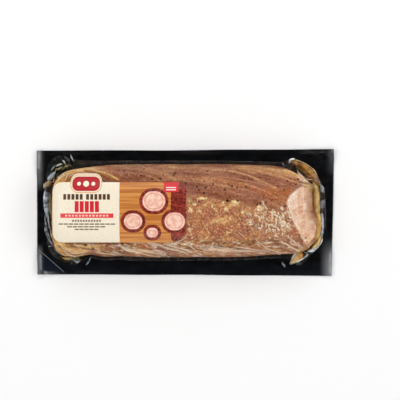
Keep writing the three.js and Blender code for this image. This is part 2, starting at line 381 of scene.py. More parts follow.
def sheet(name, top, thickness, marks=None):
    """A closed sheet: a grid of points, the same grid lower by the thickness, and walls between
    the two along the grid's rim."""
    rows, columns, _ = top.shape
    lower = top - np.array([0, 0, thickness])
    ids = np.arange(rows * columns).reshape(rows, columns)
    rim = np.concatenate([ids[0, :], ids[1:, -1], ids[-1, -2::-1], ids[-2:0:-1, 0]])
    after = np.roll(rim, -1)
    under = rows * columns
    wall = np.stack([rim, rim + under, after + under, after], -1)
    faces = np.concatenate([grid_faces(rows, columns), grid_faces(rows, columns, start=under), wall])
    both = {key: np.tile(np.ravel(values), 2) for key, values in (marks or {}).items()}
    points = np.concatenate([top.reshape(-1, 3), lower.reshape(-1, 3)])
    return mesh_object(name, points, faces, both)


# The fillet's form


def half_width(x, side):
    """Half the fillet's width on one side of its axis: drawn in a little towards the right end,
    and on the lower side by two shallow hollows near the left end."""
    upper = UPPER_HALF * (1 - 0.035 * smooth((x - 30) / 75))
    hollow = 0.055 * bell((x + 87) / 9) + 0.02 * bell((x + 60) / 9)
    lower = LOWER_HALF * (1 - 0.07 * smooth((x - 30) / 80) - hollow)
    return np.where(side > 0, upper, lower)


def end_share(x):
    """The share of the roundness that the ends use up: how far out X is, to the end's power."""
    out = (x - LOIN_MID) / LOIN_HALF
    power = np.where(out < 0, LEFT_BLUNTNESS, RIGHT_BLUNTNESS)
    return np.minimum(1, np.abs(out)) ** power


def outline_y(x, side):
    """The fillet's outline: its half width times the roundness root of what its ends leave."""
    left_over = (1 - end_share(x)) ** (1 / SIDE_ROUNDNESS)
    return CENTRE_Y + side * half_width(x, side) * left_over


def face_height(x, y):
    """The slanted cut face: a plane that falls towards the right, its foot swept back in Y."""
    foot = FACE_FOOT + FACE_SWEEP * (y - FACE_CROWN_Y) ** 2
    return 5 + (foot - x) * FACE_SLOPE


def crown_dome(x, y):
    """The uncut dome: the crown's height times the root of what ends and sides leave."""
    side = np.where(y > CENTRE_Y, 1, -1)
    across = np.abs((y - CENTRE_Y) / half_width(x, side)) ** SIDE_ROUNDNESS
    crown = CROWN_HEIGHT - 2.5 * smooth((x - 40) / 80) - 2 * smooth((-80 - x) / 40)
    return crown * np.sqrt(np.maximum(0, 1 - end_share(x) - across))


def dome_height(x, y):
    return soft_min(crown_dome(x, y), np.maximum(0, face_height(x, y)), FACE_EDGE)


def unrolled(x, y):
    """The plan as if flanks and ends lay flat: each point moved outwards by a share of what the
    dome has fallen from its crown there."""
    side = np.where(y > CENTRE_Y, 1, -1)
    across = np.abs((y - CENTRE_Y) / half_width(x, side)) ** SIDE_ROUNDNESS
    down = FLANK_SHARE * CROWN_HEIGHT
    along = down * (1 - np.sqrt(np.maximum(0, 1 - end_share(x))))
    return x + np.sign(x) * along, y + side * down * (1 - np.sqrt(np.maximum(0, 1 - across)))


def cut_corners(x, y):
    """Draws the plan in behind each corner cut: how far a point lies past the line is rounded
    off towards 0."""
    for (ax, ay), (bx, by) in CORNER_CUTS:
        length = np.hypot(bx - ax, by - ay)
        out_x, out_y = (ay - by) / length, (bx - ax) / length
        past = (x - ax) * out_x + (y - ay) * out_y
        back = past - soft_min(past, 0, CUT_REACH)
        x, y = x - out_x * back, y - out_y * back
    return x, y


def flank_dents(x, y):
    """How far the steep flank is drawn in by its pleats: noise over the unrolled plan."""
    u, v = unrolled(x, y)
    steep = smooth(np.hypot(u - x, v - y) / 9)
    pleats = 0.5 + 0.34 * noise(u, v + 0.15 * u, (26, 5), 45) + 0.16 * noise(u, v, (9, 2.6), 46)
    return steep * pleats


def streak(x, y):
    """A coordinate across the muscle's grain: Y, plus a fall along X that steepens at both ends."""
    bend = 0.0022 * np.maximum(0, x - 20) ** 2 - 0.0012 * np.maximum(0, -60 - x) ** 2
    return y + 0.12 * x + bend + 2.5 * noise(x, y, (70, 30), 3)


def under_label(x, y):
    """1 under the label, where the film is pulled flat, falling to 0 a little outside it."""
    across = smooth((LABEL_TOP + 8 - y) / 6) * smooth((y - LABEL_BOTTOM + 4) / 4)
    return across * smooth((LABEL_RIGHT + 5 - x) / 4) * smooth((x - LABEL_LEFT + 6) / 4)


def cut_face(x, y):
    """1 on the slanted cut face, where its plane lies below the dome."""
    return smooth((crown_dome(x, y) - face_height(x, y)) / 2.5 + 0.3)


def coarse_zone(x, y):
    """1 where the coarse seasoned fat lies, right of the label and below an arched boundary."""
    boundary = 14.5 - 0.0015 * x * x + 2.2 * noise(x, y, (11, 11), 5)
    edge = smooth((boundary - y) / 6) * smooth((x + 4) / 8)
    return edge * (1 - cut_face(x, y))


def low_band(x, y):
    """1 on the fillet's lower flank, where the film lies in pale pleats."""
    edge = -25.5 + 0.055 * np.maximum(0, x) + 1.8 * noise(x, y, (13, 9), 6)
    return smooth((edge - y) / 4) * smooth((112 - x) / 8)


def relief(x, y):
    """The meat's relief in millimetres: long seams and ridges along the grain, uneven lumps in the
    coarse zone, and shallow creases on the cut face."""
    u, v = unrolled(x, y)
    s = streak(u, v)
    seams = 0.8 * noise(u, s, (60, 7), 11) + 0.35 * noise(u, s, (26, 2.6), 12)
    lumps = 0.9 * layered(u, v, (7, 6), 21, 0.6)
    creases = 0.5 * noise(x, y, (9, 7), 31) + 0.25 * noise(x, y, (3, 4), 32)
    shown = mix(mix(seams, lumps, coarse_zone(x, y)), creases, cut_face(x, y))
    return shown * (1 - 0.8 * under_label(x, y))


def meat_height(x, y):
    """The meat's top surface above its floor."""
    return np.maximum(0.3, dome_height(x, y) + relief(x, y) - FILM_GAP)


def film_height(x, y):
    """The film over the meat: the dome with the meat's relief, and pleats that run down to the
    right along the lower flank and round the ends."""
    zone = np.maximum(low_band(x, y), 0.6 * smooth((np.abs(x) - 100) / 14))
    u, v = unrolled(x, y)
    s = v + 0.22 * u
    pleats = 0.9 * noise(u, s, (24, 3.4), 41) + 0.45 * noise(u, s, (10, 1.7), 42)
    lift = zone * np.maximum(0, pleats) * (1 - under_label(x, y))
    return dome_height(x, y) + relief(x, y) + lift


def drapes(x, y):
    """Fine lines of drawn film that run down the steep flanks and ends: where noise stretched
    down them, over the unrolled plan, passes 0."""
    u, v = unrolled(x, y)
    down_side = veins(noise(u + 0.6 * v, v, (6, 34), 88), 0.05)
    down_end = veins(noise(u, v + 0.4 * u, (30, 6), 89), 0.05)
    patchy = smooth(0.6 + noise(u, v, (16, 9), 90))
    at_side, at_end = smooth((np.abs(v - y) - 6) / 5), smooth((np.abs(u - x) - 4) / 6)
    return np.maximum(down_side * at_side * (1 - at_end), down_end * at_end) * patchy


def stations(count):
    """X of points spaced evenly along the upper outline, found by walking a fine one."""
    fine = np.linspace(-1, 1, 6001)
    xs = LOIN_MID + np.sign(fine) * LOIN_HALF * (1 - (1 - np.abs(fine)) ** SIDE_ROUNDNESS)
    steps = np.hypot(np.diff(xs), np.diff(outline_y(xs, 1)))
    walked = np.concatenate([[0], np.cumsum(steps)])
    return np.interp(np.linspace(0, walked[-1], count), walked, xs)


def ladder(crown_rows, skirt_rows):
    """Rows from the lower rim over the spine to the upper rim: 0 is the spine, 1 the outline and
    2 the skirt's rim, bunched towards the outline, with each row's side."""
    crown = 1 - (1 - np.arange(crown_rows + 1) / crown_rows) ** 1.45
    skirt = 1 + np.arange(1, skirt_rows + 1) / max(skirt_rows, 1)
    rows = np.concatenate([crown, skirt])
    row = np.concatenate([rows[:0:-1], rows])
    side = np.concatenate([-np.ones(len(rows) - 1), np.ones(len(rows))])
    return row, side


def crown_plan(x, row, side):
    """Plan of the points between spine and outline, each row that share of the way out: first
    where they lie on the smooth dome, then drawn in by the flank's dents and the corner cuts."""
    spine_x = np.clip(x, LOIN_LEFT + SPINE_INSET, LOIN_RIGHT - SPINE_INSET)
    smooth_x, smooth_y = mix(spine_x, x, row), mix(CENTRE_Y, outline_y(x, side), row)
    out_x, out_y = smooth_x - spine_x, smooth_y - CENTRE_Y
    back = flank_dents(smooth_x, smooth_y) / np.maximum(1, np.hypot(out_x, out_y))
    return smooth_x, smooth_y, *cut_corners(smooth_x - out_x * back, smooth_y - out_y * back)


# Fields of colour


def paint(red, green, blue):
    """A colour as the eye reads it, 0 to 255, as the linear colour that a shader takes."""
    share = np.array([red, green, blue]) / 255
    linear = np.where(share <= 0.04045, share / 12.92, ((share + 0.055) / 1.055) ** 2.4)
    return (*(float(v) for v in linear), 1.0)


def for_mesh(colour):
    """A colour as the eye reads it as the linear one that a mesh holds."""
    return np.array(paint(*colour)[:3])


def tint(name):
    return for_mesh(COLOURS[name])


def ramp(value, stops):
    """Colours blended in a line between the stops, which are (value, colour's name)."""
    at = [stop[0] for stop in stops]
    bands = [np.interp(value, at, [tint(stop[1])[band] for stop in stops]) for band in range(3)]
    return np.stack(bands, -1)


def lay(under, over, mask):
    """One field of colour, or a named colour, laid over another by a mask."""
    over = tint(over) if isinstance(over, str) else over
    return under + (over - under) * np.clip(mask, 0, 1)[..., None]


def near_path(x, y, path, reach):
    """1 on a path (points by X Y), falling as a bell to the reach round it: for each stretch of
    the path, the distance to its nearest point."""
    far = np.full(np.shape(x), 1e9)
    for (ax, ay), (bx, by) in zip(path[:-1], path[1:]):
        dx, dy = bx - ax, by - ay
        t = np.clip(((x - ax) * dx + (y - ay) * dy) / (dx * dx + dy * dy), 0, 1)
        far = np.minimum(far, np.hypot(x - ax - t * dx, y - ay - t * dy))
    return bell(far / reach)


def inside(x, y, corners, edge):
    """1 inside a convex outline whose corners go anticlockwise, over an edge of that width."""
    depth = np.full(np.shape(x), 1e9)
    for (ax, ay), (bx, by) in zip(corners, np.roll(corners, -1, axis=0)):
        dx, dy = bx - ax, by - ay
        depth = np.minimum(depth, (dx * (y - ay) - dy * (x - ax)) / np.hypot(dx, dy))
    return smooth(depth / edge + 0.5)


# The cut face's corners, then lines and patches on the meat, as colour, reach in millimetres,
# strength and path, and the coarse zone's cream lumps, as place and half sizes. Places are pixels,
# and so are the lumps' sizes, each of LUMP_PIXEL millimetres at the crown's height. Of the lines,
# most in fold dark and fold shade are painted shade in the film's creases, and the white ones on
# the lower flank and at the cut face's left edge are painted highlights.
LUMP_PIXEL = 0.97 * PIXEL
FACE_CORNERS = [
    (309, 188.4), (302, 186.6), (296.5, 189.6), (291, 195), (287, 202), (290, 211), (294, 223),
    (300.6, 236), (307, 246), (316, 236), (318.5, 222), (315.5, 205), (312.5, 192),
]
STROKES = [
    ("sinew", 1.0, 0.7,
     [(150, 164.5), (172, 166.5), (210, 168.5), (232, 171), (250, 176), (263, 182), (276, 188)]),
    ("sinew", 0.8, 0.5, [(205, 178), (225, 180.5), (245, 184), (262, 190), (275, 196)]),
    ("sinew", 0.9, 0.6, [(238, 167), (258, 170), (272, 174), (290, 180), (300, 184)]),
    ("yellow fat", 2.6, 0.9,
     [(240, 166.5), (262, 168), (280, 169.5), (293, 172.5), (303, 178), (310, 181)]),
    ("sinew", 0.8, 0.45, [(112, 166), (135, 171), (152, 177), (160, 181)]),
    ("sinew", 0.8, 0.4, [(128, 164.5), (148, 168), (165, 174), (178, 181)]),
    ("mauve", 1.3, 0.6, [(118, 168.5), (134, 172), (147, 176)]),
    ("dark muscle", 1.3, 0.6, [(110, 166.4), (128, 169.4), (146, 173), (160, 178)]),
    ("dark muscle", 1.1, 0.55, [(148, 165.8), (168, 168.6), (186, 172.4), (200, 177)]),
    ("dark muscle", 1.0, 0.5, [(124, 173), (138, 175.6), (150, 179.4)]),
    ("mauve", 1.2, 0.5, [(152, 167), (166, 171), (180, 175), (192, 181)]),
    ("mauve", 1.4, 0.5, [(195, 187), (212, 188), (226, 192), (240, 198)]),
    ("rust", 1.6, 0.5, [(216, 180), (238, 184), (256, 190), (270, 197)]),
    ("brown", 1.2, 0.4, [(176, 164.5), (200, 165.5), (225, 165.5), (244, 165)]),
    ("rust", 3.4, 0.75, [(268, 190), (279, 193), (290, 192)]),
    ("rust", 2.4, 0.5, [(272, 198), (284, 201)]),
    ("yellow fat", 2.8, 0.8,
     [(52, 190), (53.5, 181), (58, 174.5), (66, 170.5), (80, 167.5), (98, 166), (124, 164.5)]),
    ("yellow fat", 2.4, 0.9, [(56, 182), (60, 177.4), (68, 173.6), (80, 171)]),
    ("amber", 2.2, 0.8, [(66, 180), (78, 175), (92, 173), (106, 175), (118, 179)]),
    ("cream", 1.8, 0.85, [(54, 184), (57, 178), (62.6, 173.4), (70, 170.6), (80, 168.8), (92, 167.6)]),
    ("brown", 0.6, 0.5, [(59, 182), (63, 177), (70, 174), (80, 173.4)]),
    ("fold dark", 0.5, 0.7, [(60, 176.4), (66, 172.6), (74, 171)]),
    ("brown", 0.8, 0.7, [(68, 181), (73, 177), (80, 176.6)]),
    ("brown", 0.7, 0.8, [(84, 170.4), (94, 172.6), (104, 176.6), (112, 181)]),
    ("cream", 0.6, 0.7, [(88, 169), (100, 171.4), (110, 175), (118, 179.6)]),
    ("brown", 0.7, 0.6, [(104, 166.8), (118, 169.6), (130, 174), (140, 179)]),
    ("mauve", 2.0, 0.5, [(106, 168.5), (116, 171), (126, 175)]),
    ("yellow fat", 1.6, 0.7, [(52, 205), (52.5, 225), (54, 238), (59, 247)]),
    ("brown", 0.7, 0.6, [(66, 243.6), (80, 243.4), (96, 243.6), (110, 243.4), (124, 244)]),
    ("yellow fat", 2.0, 0.9, [(57, 242), (66, 247.6), (78, 250.6), (90, 247.4), (99, 246.6)]),
    ("rust", 2.0, 0.9, [(63, 252), (70, 255), (77, 256)]),
    ("cream", 1.4, 0.9, [(58, 243), (66, 248.6), (75, 252), (86, 251.6)]),
    ("cream", 1.0, 0.8, [(74, 245.6), (84, 246.4), (96, 248.4), (108, 252)]),
    # Painted shade in the creases of the film's folds at the lower left.
    ("fold dark", 0.8, 0.9, [(58, 246), (66, 251), (74, 254.6), (84, 254.6)]),
    ("fold dark", 0.7, 0.9, [(72, 246), (82, 248.4), (96, 250.6)]),
    ("fold dark", 1.2, 0.8, [(84, 245), (85.6, 245.4)]),
    ("fold dark", 1.0, 0.8, [(92, 248), (93.6, 248.4)]),
    ("fold shade", 3.0, 1.0, [(102, 249.6), (109, 250), (116, 251)]),
    ("cream", 0.8, 0.8, [(96, 252), (108, 254.6), (120, 256)]),
    ("fold dark", 0.7, 0.9, [(100, 251.8), (110, 253.2), (119, 253.8)]),
    ("fold dark", 0.7, 0.8, [(113, 246), (122, 249.6), (132, 253.6)]),
    ("rust", 2.4, 0.9, [(141, 246), (150, 247)]),
    ("mauve", 2.4, 0.9, [(159, 250), (168, 251.4), (178, 253)]),
    ("pink white", 0.8, 0.7, [(165, 244), (174, 246.6), (184, 249.6), (191, 252.6)]),
    ("fold dark", 0.8, 0.9, [(158, 246.6), (170, 249), (180, 251.6)]),
    ("cream", 0.9, 0.8, [(139, 250.4), (150, 253), (163, 256.4)]),
    ("fold dark", 0.7, 0.9, [(138, 252.2), (150, 255)]),
    ("rust", 2.4, 0.7, [(196, 247), (208, 247.4)]),
    ("pink white", 0.9, 0.7, [(204, 249.6), (222, 250.6), (240, 253)]),
    ("fold dark", 0.7, 0.9, [(214, 246), (232, 247.6), (250, 250.4)]),
    ("pink white", 0.8, 0.6, [(236, 246.6), (252, 249.4), (268, 252)]),
    ("rust", 1.8, 0.7, [(252, 246.8), (264, 249)]),
    ("fold dark", 0.7, 0.9, [(256, 251.6), (270, 252.8), (284, 253.2)]),
    # Painted highlights on the ridges of the film's folds along the lower flank.
    ("white", 1.1, 0.6, [(119, 245), (127, 250.5), (137, 252), (150, 255.5)]),
    ("white", 1.0, 0.5, [(130, 241.5), (143, 242), (156, 244), (167, 248), (178, 250.5), (188, 254)]),
    ("white", 1.0, 0.4, [(196, 246), (216, 247), (232, 250), (250, 252)]),
    ("fold shade", 0.9, 0.6, [(196, 243), (208, 241.5), (222, 242), (236, 244)]),
    ("fold shade", 0.8, 0.6, [(140, 256), (150, 252.5), (158, 253)]),
    ("fold shade", 0.8, 0.6, [(208, 252.5), (225, 253.5), (246, 254)]),
    ("rosy", 2.6, 0.8, [(288, 235), (296, 241), (303, 246)]),
    ("rosy", 1.6, 0.7, [(279, 236), (288, 243), (296, 250)]),
    # Painted sheen and glints along the cut face's left edge.
    ("white", 2.6, 0.8, [(291.5, 206), (292, 200), (295, 196)]),
    ("white", 1.2, 0.9, [(288.6, 204), (289.6, 199), (292.6, 195), (296, 192)]),
    ("white", 1.0, 0.6, [(289.5, 207), (291, 214), (294.5, 222), (299.5, 229)]),
    ("face pale", 1.2, 0.8, [(297, 198), (295.5, 206), (297.5, 214), (301, 222)]),
    ("face rosy", 0.8, 0.7, [(299, 193), (298.6, 201), (300.6, 210), (303.6, 219)]),
    ("white", 0.6, 0.6, [(304, 188), (303, 196), (304.4, 204), (304, 212)]),
    ("face rosy", 0.9, 0.6, [(308.6, 188), (308, 197), (309.6, 206), (311.4, 214)]),
    ("face rosy", 0.8, 0.6, [(293, 210), (300, 211.6), (307, 210.6), (313, 212)]),
    ("white", 0.6, 0.5, [(297, 221), (304, 219.6), (311, 222.4), (317, 221)]),
    ("face rosy", 0.9, 0.6, [(301, 228), (307, 226), (313, 229.4)]),
    ("face pale", 1.0, 0.6, [(306.5, 214), (306, 222), (304, 231)]),
    ("white", 0.7, 0.5, [(313, 213), (315.5, 219), (316.5, 224)]),
    ("face rosy", 1.4, 0.5, [(303, 236), (309, 231), (316, 229)]),
    ("old gold", 2.4, 0.95, [(314.6, 183), (316, 194), (316, 207)]),
    ("olive", 0.7, 0.5, [(313.2, 186), (313.6, 196), (313.8, 205)]),
    ("yellow fat", 1.6, 0.9, [(316.8, 205), (317.6, 213), (318.4, 226), (317.5, 236)]),
    ("amber", 1.6, 0.8, [(313, 212), (315, 215), (316.5, 220)]),
    ("cream", 1.0, 0.6, [(319.2, 212), (319.4, 224), (317.8, 235), (312, 243)]),
    ("old gold", 2.2, 0.9, [(305, 183.6), (309.5, 185.6), (312.6, 189.6)]),
    ("cream", 1.0, 0.8, [(303, 184.4), (307, 185.6), (310.6, 188.4)]),
    ("face pale", 1.9, 0.85, [(300, 178), (304, 180.4), (309, 180)]),
    ("brown", 0.9, 0.7, [(300, 181.4), (304, 183), (308, 183)]),
    ("brown", 1.2, 0.6, [(310, 182), (314, 184)]),
    ("cream", 1.0, 0.75, [(258, 167.4), (276, 168.6), (291, 171.8), (302, 177)]),
]
LUMPS = [
    (235, 203, 4.2, 2.6), (260, 208, 3.2, 3), (226, 209, 2.2, 2.2), (243, 212, 1.8, 1.5),
    (190, 210, 2.2, 2.8), (200, 211, 1.8, 1.6), (202, 198.5, 4.4, 1.3), (195, 204, 2.2, 1.3),
    (190, 230, 1.6, 2), (248, 221, 1.6, 2.2), (223, 203.5, 1.9, 1.6), (212, 206, 1.1, 2),
]


def veined(under, x, y, lines):
    """Thin lines laid over a field of colour, as (colour, strength, slant, pitch, seed, width):
    the veins of noise over the plan, whose Y is slanted by that share of X."""
    for name, strength, slant, pitch, seed, width in lines:
        under = lay(under, name, strength * veins(noise(x, y + slant * x, pitch, seed), width))
    return under


def muscle_colour(x, y, u, v):
    """Muscle streaked along the grain, darker at the upper edge as painted shade, and lined there,
    with thin pale seams.
    """
    s = streak(u, v)
    tone = 0.5 + 0.34 * noise(u, s, (60, 7), 11) + 0.28 * noise(u, s, (26, 2.6), 12)
    tone = tone + 0.15 * noise(u, s, (12, 2), 13) + 0.16 * noise(u, v, (2.6, 1.6), 15)
    colour = ramp(tone, [(0.0, "dark muscle"), (0.45, "muscle"), (1.0, "pale muscle")])
    colour = lay(colour, "mauve", 0.6 * patches(noise(u, s, (30, 7), 14), 0.1, 0.4))
    # Painted shade: darker along the upper edge, where the flank falls away.
    colour = lay(colour, "dark muscle", 0.7 * smooth((y - 37) / 4) * smooth((x + 85) / 35))
    colour = lay(colour, "brown", 0.8 * smooth((y - 34) / 6) * veins(noise(u, s, (22, 3), 17), 0.12))
    return lay(colour, "sinew", 0.3 * patches(noise(u, s, (48, 2.2), 16), 0.45, 0.25))


def flank_colour(u, v):
    """The steep flanks and ends, blotched from mauve to sinew, with cream lines."""
    blotch = layered(u, v, (11, 5), 84, 0.8)
    colour = ramp(blotch, [(-1.3, "mauve"), (-0.5, "muscle"), (0.4, "pale muscle"), (1.3, "sinew")])
    return veined(colour, u, v, [("cream", 0.5, 0.2, (12, 4), 87, 0.07)])


def coarse_colour(u, v):
    """The coarse seasoned zone: golden, with rosy and mauve patches, brown crevices of painted shade
    and cream fat.
    """
    stops = [(-0.9, "rosy"), (-0.1, "golden"), (0.7, "golden"), (1.3, "cream")]
    colour = ramp(layered(u, v, (9, 7), 61, 0.7), stops)
    colour = lay(colour, "rosy", 0.8 * patches(layered(u, v, (10, 7), 64, 0.7), -0.05, 0.4))
    colour = lay(colour, "mauve", 0.65 * patches(layered(u, v, (6, 4.5), 67, 0.7), 0.3, 0.3))
    # Painted shade: brown lines in the crevices between the chunks.
    colour = lay(colour, "brown", 0.35 * veins(layered(u, v, (7, 5), 68, 0.6), 0.12))
    return lay(colour, "cream", 0.75 * patches(layered(u, v, (4, 3), 65, 0.6), 0.75, 0.3))


def lump_mask(x, y):
    """1 on the coarse zone's cream lumps: ellipses whose edge wanders with noise."""
    lump = np.zeros(np.shape(x))
    edge = 1.25 + 0.3 * noise(x, y, (1.6, 1.6), 66)
    for px, py, wide, high in LUMPS:
        cx, cy = on_pack((px, py))
        far = np.hypot((x - cx) / wide, (y - cy) / high) / LUMP_PIXEL
        lump = np.maximum(lump, smooth((edge - far) / 0.5))
    return lump


def band_colour(u, v, flank):
    """The pleated lower flank: folds painted from shade to highlight, dark to white, with yellow fat
    and rust in patches, and thin dark lines of painted shade in the creases and white ones of
    painted highlight, finer on the crown than down the steep flank."""
    pleat = 0.45 + 0.6 * noise(u, v + 0.22 * u, (18, 5), 71)
    pleat = pleat + 0.6 * noise(u, v + 0.35 * u, (7, 2.2), 72)
    pleat = pleat + 0.4 * noise(u, v - 0.3 * u, (5, 2.4), 78)
    pleat = pleat + 0.45 * (1 - flank) * layered(u, v + 0.3 * u, (3.2, 2.0), 92, 0.8)
    # Painted light and shade: the folds run from fold dark in their creases to white on their ridges.
    colour = ramp(pleat, [(-0.2, "fold dark"), (0.25, "fold shade"), (0.75, "fold"), (1.3, "white")])
    colour = lay(colour, "yellow fat", 0.45 * patches(noise(u, v, (17, 9), 73), 0.05, 0.3))
    colour = lay(colour, "rust", 0.65 * patches(noise(u, v, (14, 7), 74), 0.05, 0.3))
    return veined(colour, u, v, [
        ("fold dark", 0.95, 0.3, (11, 4), 76, 0.15),
        ("white", 0.9, 0.4, (10, 4.4), 79, 0.11),
        ("brown", 0.7, -0.35, (9, 4.4), 85, 0.09),
        ("brown", 0.9 * (1 - flank), 0.25, (8, 3), 96, 0.1),
    ])


def fat_colour(u, v, flank):
    """The fat at the ends and the rim: brown to cream in patches, with dark and cream lines."""
    stops = [(-1.3, "brown"), (-0.6, "amber"), (0.1, "yellow fat"), (1.1, "cream")]
    return veined(ramp(layered(u, v, (14, 8), 75, 0.7), stops), u, v, [
        ("fold dark", 0.6 * (1 - 0.7 * flank), 0.3, (9, 3), 77, 0.12),
        ("cream", 0.6, -0.3, (8, 3), 86, 0.08),
    ])


def flesh_colour(x, y):
    """The cut face: rosy to pale flesh, with rosy and white lines."""
    stops = [(-1.0, "face rosy"), (0.0, "face"), (1.1, "face pale")]
    return veined(ramp(layered(x, y, (5, 4), 81, 0.7), stops), x, y, [
        ("face rosy", 0.7, 0.5, (5, 3.4), 83, 0.1),
        ("white", 0.6, -0.7, (6, 3.6), 82, 0.09),
    ])


def meat_colour(x, y, height):
    """The meat's field of colour: muscle, its flanks, the coarse zone with its cream lumps, the
    pleated lower flank, fat at the ends and the rim, the cut face, and the strokes over them."""
    u, v = unrolled(x, y)
    down = np.hypot(u - x, v - y)
    flank = smooth((down - 3) / 8)
    colour = lay(muscle_colour(x, y, u, v), flank_colour(u, v), 0.85 * flank)
    colour = lay(colour, coarse_colour(u, v), coarse_zone(x, y))
    colour = lay(colour, "lump", lump_mask(x, y))
    colour = lay(colour, band_colour(u, v, flank), (0.9 - 0.35 * flank) * low_band(x, y))

    upper_left = smooth((-78 - x) / 26) * smooth((y - 10) / 14)
    lower_left = 0.95 * smooth((-84 - x) / 18) * smooth((-24 - y) / 4)
    at_end = 0.8 * smooth((-112 - x) / 6)
    fat = fat_colour(u, v, flank)
    colour = lay(colour, fat, 0.85 * np.maximum(upper_left, lower_left) + at_end)
    rim = smooth((17 - height) / 9) * smooth((x - 92) / 10)
    colour = lay(colour, mix(fat, tint("yellow fat"), 0.7), 0.95 * rim)

    colour = lay(colour, flesh_colour(x, y), inside(x, y, on_pack(FACE_CORNERS), 1.4))
    broken = np.clip(1 + 0.7 * noise(x, y, (3.2, 2.2), 91), 0, 1) * (1 - 0.9 * smooth((down - 7) / 6))
    for name, reach, strength, pixels in STROKES:
        path = curve_through(on_pack(pixels), 3 * len(pixels))
        colour = lay(colour, name, 1.1 * strength * broken * near_path(x, y, path, reach))
    return colour


# Shader nodes


def put(tree, kind, sockets=None, **settings):
    """Adds a shader node: settings are its properties, and sockets its inputs by name or number,
    each a value or another node's output."""
    made = tree.nodes.new(kind)
    for key, value in settings.items():
        setattr(made, key, value)
    for key, value in (sockets or {}).items():
        if isinstance(value, bpy.types.NodeSocket):
            tree.links.new(value, made.inputs[key])
        else:
            made.inputs[key].default_value = value
    return made


def maths(tree, operation, first, second=0.0, clamp=False):
    """One step of arithmetic on two values."""
    made = put(tree, "ShaderNodeMath", {0: first, 1: second}, operation=operation)
    made.use_clamp = clamp
    return made.outputs[0]


def blend(tree, mask, first, second):
    """Mixes two colours by a mask."""
    return put(tree, "ShaderNodeMix", {0: mask, 6: first, 7: second}, data_type="RGBA").outputs[2]


def between(tree, value, low, high, start=0.0, end=1.0):
    """A smooth step of a value from start to end as it goes from low to high."""
    limits = {0: value, 1: low, 2: high, 3: start, 4: end}
    return put(tree, "ShaderNodeMapRange", limits, interpolation_type="SMOOTHSTEP").outputs[0]


def grain(tree, vector, scale, detail=2.0, rough=0.5):
    """Fractal noise, whose features are about one over the scale across, in metres."""
    inputs = {"Vector": vector, "Scale": scale, "Detail": detail, "Roughness": rough}
    return put(tree, "ShaderNodeTexNoise", inputs).outputs[0]


def mark(tree, name):
    """The value that a mesh holds under a name."""
    return put(tree, "ShaderNodeAttribute", attribute_name=name).outputs["Fac"]


def own_tint(tree):
    """The colour that a mesh holds for each point."""
    return put(tree, "ShaderNodeAttribute", attribute_name="tint").outputs["Color"]


def object_place(tree, scale=(1, 1, 1)):
    """Object coordinates, stretched by a Mapping node."""
    place = put(tree, "ShaderNodeTexCoord").outputs["Object"]
    return put(tree, "ShaderNodeMapping", {"Vector": place, "Scale": scale}).outputs[0]


def slanted(tree, vector, turn, scale):
    """Coordinates turned about Z and then stretched."""
    turned = put(tree, "ShaderNodeMapping", {"Vector": vector, "Rotation": (0, 0, turn)}).outputs[0]
    return put(tree, "ShaderNodeMapping", {"Vector": turned, "Scale": scale}).outputs[0]


def new_material(name):
    """An empty material with its output, as (material, tree, output)."""
    material = bpy.data.materials.new(name)
    material.use_nodes = True
    tree = material.node_tree
    tree.nodes.clear()
    return material, tree, put(tree, "ShaderNodeOutputMaterial")


def new_group(name, inputs, outputs):
    """An empty shader node group with named sockets, as (group, its inputs, its outputs)."""
    group = bpy.data.node_groups.new(name, "ShaderNodeTree")
    for key, kind in inputs.items():
        group.interface.new_socket(name=key, in_out="INPUT", socket_type=kind)
    for key, kind in outputs.items():
        group.interface.new_socket(name=key, in_out="OUTPUT", socket_type=kind)
    return group, put(group, "NodeGroupInput"), put(group, "NodeGroupOutput")


def use_group(tree, group, sockets):
    """Places a node group in a tree with its own values."""
    return put(tree, "ShaderNodeGroup", sockets, node_tree=group)


FLOAT, COLOUR = "NodeSocketFloat", "NodeSocketColor"
IN_MM = (1000, 1000, 1000)


def mottle_group():
    """Fine wet mottling: a colour lightened and darkened by noise of two scales, and the height of
    the same noise for a bump."""
    inputs = {"Colour": COLOUR, "Strength": FLOAT, "Scale": FLOAT}
    group, given, result = new_group("wet mottle", inputs, {"Colour": COLOUR, "Height": FLOAT})
    place = put(group, "ShaderNodeTexCoord").outputs["Object"]
    slow = grain(group, place, given.outputs["Scale"], 3.0, 0.6)
    fine = grain(group, place, maths(group, "MULTIPLY", given.outputs["Scale"], 3.7), 2.0)
    slow_share = maths(group, "MULTIPLY", slow, 0.65)
    height = maths(group, "ADD", slow_share, maths(group, "MULTIPLY", fine, 0.35))
    swing = maths(group, "MULTIPLY", maths(group, "SUBTRACT", height, 0.5), given.outputs["Strength"])
    lit = put(group, "ShaderNodeVectorMath", {0: given.outputs["Colour"]}, operation="SCALE")
    group.links.new(maths(group, "ADD", swing, 1.0), lit.inputs["Scale"])
    group.links.new(lit.outputs[0], result.inputs["Colour"])
    group.links.new(height, result.inputs["Height"])
    return group


def crinkle_group():
    """Crinkled film: ridges of noise stretched along a slanted line, as a height."""
    group, given, result = new_group("film crinkle", {"Scale": FLOAT}, {"Height": FLOAT})
    place = slanted(group, put(group, "ShaderNodeTexCoord").outputs["Object"], 0.62, (0.42, 1.0, 1.0))
    wave = grain(group, place, given.outputs["Scale"], 2.0, 0.55)
    fold = maths(group, "ABSOLUTE", maths(group, "SUBTRACT", wave, 0.5))
    ridge = between(group, fold, 0.0, 0.05, 0.5, 0.0)
    group.links.new(maths(group, "ADD", ridge, wave), result.inputs["Height"])
    return group


MOTTLE = mottle_group()
CRINKLE = crinkle_group()


